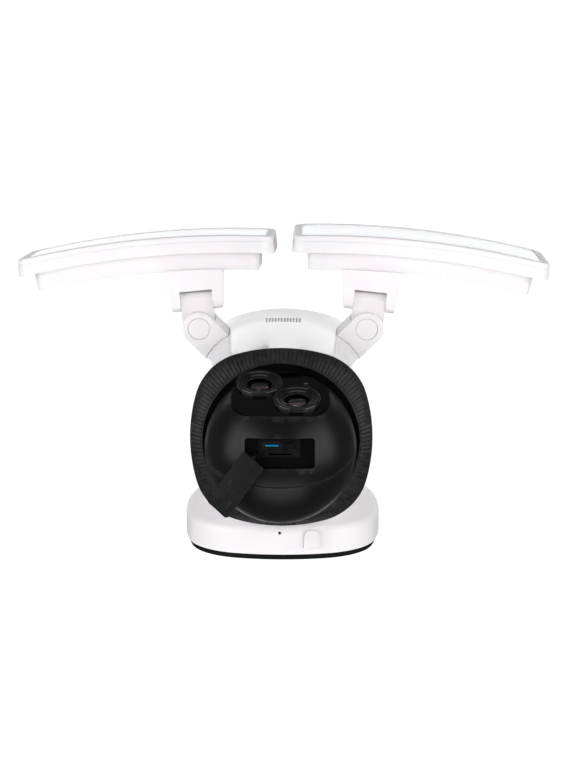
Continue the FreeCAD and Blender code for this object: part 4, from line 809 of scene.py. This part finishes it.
ARM_EDGE = 0.55 * MM
CAP_R, CAP_SOFT, CAP_DEEP, CAP_SUNK, PIN_R = 5.62 * MM, 0.4 * MM, 1.95 * MM, 0.12 * MM, 2.95 * MM
CAP_SIDES = 72
for tag in ("left", "right"):
    softened(f"arm_root_{tag}", "housing", "arm_plastic", warm_white, ARM_EDGE)
    softened(f"link_{tag}", f"{tag}_link", "arm_plastic", warm_white, 0.25 * MM)
    low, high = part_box(f"arm_pin_{tag}")
    centre, head = (low + high) / 2, low.z
    face = head + CAP_SUNK
    turned = [(0.0, face), (CAP_R - CAP_SOFT, face)]
    turned += arc((CAP_R - CAP_SOFT, face + CAP_SOFT), CAP_SOFT, -75, 0, 5)
    turned += [(CAP_R, head + CAP_DEEP), (PIN_R, head + CAP_DEEP), (PIN_R, high.z), (0.0, high.z)]
    angles = [2 * math.pi * i / CAP_SIDES for i in range(CAP_SIDES)]
    rings = [[(centre.x + r * math.cos(a), centre.y + r * math.sin(a), z) for a in angles]
             for r, z in turned]
    keep(f"pivot_cap_{tag}", tidied(woven(rings, True)), "housing", "screw_steel", warm_white,
         f"arm_pin_{tag}")
    give(screw_steel, f"tilt_pin_{tag}")

# ---------------------------------------------------------------- lamps
# Each lamp is a bowed panel: a front frame holds a milky diffuser over a board of white lights,
# and a drafted tub with two hinge lugs closes it from behind on a grey seal.

LEAN = {"left": math.radians(6.0), "right": math.radians(4.0)}
SIDE = {"left": -1, "right": 1}
LAMP_IN, LAMP_OUT, LAMP_LOW, LAMP_HIGH = 43.4 * MM, 92.6 * MM, -7.5 * MM, 62.5 * MM
LAMP_CORNER, LAMP_BOW, LAMP_FACE = 8.0 * MM, 490.0 * MM, 35.2 * MM
RIM_DEEP, TUB_DEEP = 9.2 * MM, 18.6 * MM
FRAME_DEEP, FRAME_EDGE = 3.3 * MM, 4.2 * MM
LONG_STEPS, CORNER_STEPS, LEAST_CORNER = 36, 8, 1.6 * MM


def lamp_frame(tag):
    """The lamp's own frame: X along it, -Y out of its face, with its tilt axis at the origin."""
    tilt = joints[tag + "_lamp_tilt"]
    roll = math.atan2(tilt["axis"][1], tilt["axis"][0])
    turn = Matrix.Rotation(roll, 4, "Z") @ Matrix.Rotation(-LEAN[tag], 4, "X")
    return Matrix.Translation(tilt["pos_m"]) @ turn


BOW_AXIS = {tag: SIDE[tag] * (LAMP_OUT - LAMP_IN) / 2 for tag in SIDE}


def bowed(tag, x, depth, z):
    """A point of the lamp, at a depth behind its bowed face."""
    reach = math.sqrt((LAMP_BOW - depth) ** 2 - (x - BOW_AXIS[tag]) ** 2)
    return Vector((x, LAMP_BOW - LAMP_FACE - reach, z))


def panel_ring(tag, inset, depth):
    """The lamp's outline drawn in by inset, at one depth: along its low side, and back on its high."""
    low_x, high_x = sorted((-SIDE[tag] * (LAMP_IN - inset), SIDE[tag] * (LAMP_OUT - inset)))
    low_z, high_z = LAMP_LOW + inset, LAMP_HIGH - inset
    corner = max(LAMP_CORNER - inset, LEAST_CORNER)
    long = high_x - low_x - 2 * corner
    line = [(low_x + corner + long * i / LONG_STEPS, low_z) for i in range(LONG_STEPS + 1)]
    turns = [math.pi / 2 * (i / CORNER_STEPS - 1) for i in range(1, CORNER_STEPS + 1)]
    near = [(high_x - corner + corner * math.cos(turn), low_z + corner + corner * math.sin(turn))
            for turn in turns]
    far = [(low_x + high_x - x, z) for x, z in reversed(near)]
    lower = far + line + near
    upper = [(x, high_z + low_z - z) for x, z in reversed(lower)]
    return [lamp_frames[tag] @ bowed(tag, x, depth, z) for x, z in lower + upper]


def closed_panel(rings):
    """A loft between rings whose two ends are closed by strips that follow the bow."""
    mesh = woven(rings, False)
    work = bmesh.new()
    work.from_mesh(mesh)
    work.verts.ensure_lookup_table()
    count = len(rings[0])
    for first in (0, (len(rings) - 1) * count):
        for i in range(count // 2 - 1):
            j = count - 1 - i
            corners = [work.verts[first + k] for k in (i, i + 1, j - 1, j)]
            work.faces.new(corners)
    work.to_mesh(mesh)
    work.free()
    return mesh


def softly(corners, steps=4):
    """A section with its corners rounded; each corner is (inset, depth, radius)."""
    made = []
    for i, (x, y, radius) in enumerate(corners):
        here = Vector((x, y))
        if not radius:
            made.append(here)
            continue
        before, after = (Vector(corners[k][:2]) for k in (i - 1, (i + 1) % len(corners)))
        back, on = (before - here).normalized(), (after - here).normalized()
        first, last = here + back * radius, here + on * radius
        for step in range(steps + 1):
            t = step / steps
            made.append(first * (1 - t) ** 2 + here * 2 * t * (1 - t) + last * t ** 2)
    return made


BEZEL_SECTION = softly([(0, 0, 1.3 * MM), (0, FRAME_DEEP, 0.3 * MM), (FRAME_EDGE, FRAME_DEEP, 0),
                        (FRAME_EDGE, 0, 0.5 * MM)])
PANE_EDGE = FRAME_EDGE + 0.1 * MM
DIFFUSER_SECTION = softly([(FRAME_EDGE + 1.5 * MM, 0.5 * MM, 0), (PANE_EDGE, 0.9 * MM, 0.2 * MM),
                           (PANE_EDGE, 2.9 * MM, 0)])

led_tree, *parts = geometry_tree("lights_on_a_board", [
    ("Light", "Object"), ("Light Size", "Float"), ("Finish", "Material"),
])
inlet, outlet, add, join = parts
spots = add("GeometryNodeMeshToPoints", mode="FACES")
outward = add("GeometryNodeInputNormal")
held = add("GeometryNodeCaptureAttribute", domain="FACE")
held.capture_items.new("VECTOR", "Facing")
upright = add("FunctionNodeAlignRotationToVector", axis="Z")
join(inlet.outputs["Geometry"], held.inputs["Geometry"])
join(outward.outputs["Normal"], held.inputs["Facing"])
join(held.outputs["Geometry"], spots.inputs["Mesh"])
join(held.outputs["Facing"], upright.inputs["Vector"])
repeated(parts, spots.outputs["Points"], "Light", upright.outputs["Rotation"], inlet.outputs["Light Size"])

lamp_white = moulded("lamp_warm_white", (0.845, 0.819, 0.834), 0.4, grain=2800, depth=0.1,
                     Subsurface_Weight=0.12, Subsurface_Scale=0.003)
# The diffuser's weak bluish-white emission is a painted glow: the lights behind it are unlit, and the glow
# brightens the pane as light falling on it would.
milky_painted_glow = moulded("milky_diffuser_painted_glow", (0.90, 0.915, 0.93), 0.32, grain=600, depth=0.03,
                Subsurface_Weight=0.3, Subsurface_Scale=0.004, Emission_Strength=0.3,
                Emission_Color=(0.92, 0.95, 1.0, 1))
board_white = moulded("board_white", (0.75, 0.75, 0.75), 0.35, grain=900, depth=0.05)
phosphor = moulded("phosphor_yellow", (0.80, 0.52, 0.08), 0.4, grain=4000, depth=0.1)
seal_grey = moulded("seal_grey", (0.30, 0.30, 0.30), 0.7, grain=1500, depth=0.3)

# One light, one unit wide, sunk a little into the board.
light = slab("light", Matrix(), (-0.5, 0.5), (-0.5, 0.5), (-0.2, 0.3), 0.12, 0.06, 2)
light_object = bpy.data.objects.new("light", tidied(light))
LIGHT_COLUMNS, LIGHT_ROWS, LIGHT_SIZE, LIGHT_INSET = 12, 6, 2.8 * MM, 9.0 * MM
BOARD_FACE = 5.1 * MM

lamp_frames = {tag: lamp_frame(tag) for tag in SIDE}


HINGE_HALF, HINGE_TALL, SLOT_HALF = 17.0 * MM, 7.5 * MM, 9.5 * MM
SLOT_SOFT, LUG_SOFT, TUB_SOFT, RIM_SOFT, INNER_SOFT = 0.2 * MM, 0.7 * MM, 1.5 * MM, 0.7 * MM, 0.3 * MM


def tub_edges(tag):
    """How soft each edge of the housing is: softest at the tub's back, crisp round the hinge slot."""
    into_lamp = lamp_frames[tag].inverted()

    def width(middle):
        spot = into_lamp @ middle
        depth = LAMP_BOW - math.hypot(spot.x - BOW_AXIS[tag], LAMP_BOW - LAMP_FACE - spot.y)
        near_hinge = abs(spot.x) < HINGE_HALF and abs(spot.z) < HINGE_TALL
        if near_hinge and depth > TUB_DEEP - 0.5 * MM:
            return SLOT_SOFT if abs(spot.x) < SLOT_HALF else LUG_SOFT
        if depth > TUB_DEEP - 1.0 * MM:
            return TUB_SOFT
        return RIM_SOFT if depth > RIM_DEEP - 1.5 * MM else INNER_SOFT
    return width


for tag in ("left", "right"):
    body = tag + "_lamp"
    bezel = tidied(woven([panel_ring(tag, inset, depth) for inset, depth in BEZEL_SECTION], True))
    keep(f"lamp_frame_{tag}", bezel, body, "lamp_plastic", lamp_white, f"lamp_bezel_{tag}")
    pane = tidied(closed_panel([panel_ring(tag, inset, depth) for inset, depth in DIFFUSER_SECTION]))
    keep(f"lamp_pane_{tag}", pane, body, "diffuser", milky_painted_glow, f"lamp_diffuser_{tag}")
    softened(f"lamp_housing_{tag}", body, "lamp_plastic", lamp_white, tub_edges(tag), 4)
    give(board_white, f"led_board_{tag}")
    give(seal_grey, f"lamp_seal_{tag}")
    # A grid of cells on the board's bowed face, with a light in the middle of each cell.
    long, tall = LAMP_IN + LAMP_OUT - 2 * LIGHT_INSET, LAMP_HIGH - LAMP_LOW - 2 * LIGHT_INSET
    across = [SIDE[tag] * (LIGHT_INSET - LAMP_IN + long * i / LIGHT_COLUMNS)
              for i in range(LIGHT_COLUMNS + 1)]
    upward = [LAMP_LOW + LIGHT_INSET + tall * j / LIGHT_ROWS for j in range(LIGHT_ROWS + 1)]
    grid = [lamp_frames[tag] @ bowed(tag, x, BOARD_FACE, z) for x in across for z in upward]
    column = LIGHT_ROWS + 1
    cells = [(first, first + 1, first + column + 1, first + column)
             for first in (i * column + j for i in range(LIGHT_COLUMNS) for j in range(LIGHT_ROWS))]
    if SIDE[tag] > 0:
        cells = [cell[::-1] for cell in cells]
    source = bpy.data.meshes.new("light_grid")
    source.from_pydata(grid, [], cells)
    lights = grown(source, led_tree, **{"Light": light_object, "Light Size": LIGHT_SIZE, "Finish": phosphor})
    keep(f"lights_{tag}", tidied(lights), body, "led_aluminium", phosphor)

# ---------------------------------------------------------------- studio
# The object hangs over a pale floor in front of white, seen from low in front. Big soft boxes at
# the sides, behind and above light it, with a weak strip in front.

FLOOR_WIDE, FLOOR_LOW = 12, -2.2
bpy.ops.mesh.primitive_plane_add(size=FLOOR_WIDE, location=(0, 0, FLOOR_LOW))
floor = bpy.context.object
floor.name = "studio_floor"
floor_paper = moulded("floor_paper", (0.80, 0.80, 0.80), 0.9, grain=30, depth=0.05)
paper = floor_paper.node_tree
seen = paper.nodes.new("ShaderNodeLightPath")
glow = paper.nodes.new("ShaderNodeMapRange")
glow.inputs["To Max"].default_value = 0.72
paper.links.new(seen.outputs["Is Camera Ray"], glow.inputs["Value"])
paper.links.new(glow.outputs["Result"], paper.nodes["Principled BSDF"].inputs["Emission Strength"])
paper.nodes["Principled BSDF"].inputs["Emission Color"].default_value = (1, 1, 1, 1)
floor.data.materials.append(floor_paper)
HANGING = Vector((0, -0.07, 0))


def soft_box(name, spot, width, height, power):
    """A soft box that faces the hanging object."""
    lamp = bpy.data.lights.new(name, "AREA")
    lamp.shape = "RECTANGLE"
    lamp.size, lamp.size_y, lamp.energy = width, height, power
    holder = bpy.data.objects.new(name, lamp)
    bpy.context.scene.collection.objects.link(holder)
    away = Vector(spot) - HANGING
    holder.matrix_world = Matrix.Translation(spot) @ away.to_track_quat("Z", "Y").to_matrix().to_4x4()


soft_box("left_box", (-1.6, -0.4, -1.0), 1.7, 1.9, 34)
soft_box("right_box", (1.6, -0.4, -1.0), 1.7, 1.9, 34)
soft_box("back_box", (0, 1.7, -1.2), 2.4, 1.2, 20)
soft_box("front_strip", (0, -1.9, -0.5), 2.2, 0.35, 3.5)
soft_box("top_box", (0, -0.3, 1.8), 1.8, 1.4, 8.5)

world = bpy.data.worlds.new("studio")
bpy.context.scene.world = world
world.use_nodes = True
sky = world.node_tree.nodes["Background"]
sky.inputs["Color"].default_value = (1, 1, 1, 1)
rays = world.node_tree.nodes.new("ShaderNodeLightPath")
level = world.node_tree.nodes.new("ShaderNodeMapRange")
level.inputs["To Min"].default_value = 0.16
level.inputs["To Max"].default_value = 1.05
world.node_tree.links.new(rays.outputs["Is Camera Ray"], level.inputs["Value"])
world.node_tree.links.new(level.outputs["Result"], sky.inputs["Strength"])
bpy.context.scene.view_settings.view_transform = "Standard"
bpy.context.scene.view_settings.gamma = 0.86

lens = bpy.data.cameras.new("camera")
lens.lens, lens.sensor_width = 141.4, 36.0
camera = bpy.data.objects.new("camera", lens)
bpy.context.scene.collection.objects.link(camera)
right = Vector((0.999925, 0.0, 0.012217))
up = Vector((-0.002584, -0.97738, 0.21148))
back = Vector((0.01194, -0.21150, -0.97731))
facing = Matrix((right, up, back)).transposed().to_4x4()
camera.matrix_world = Matrix.Translation((0.020, -0.416, -1.538)) @ facing
bpy.context.scene.camera = camera
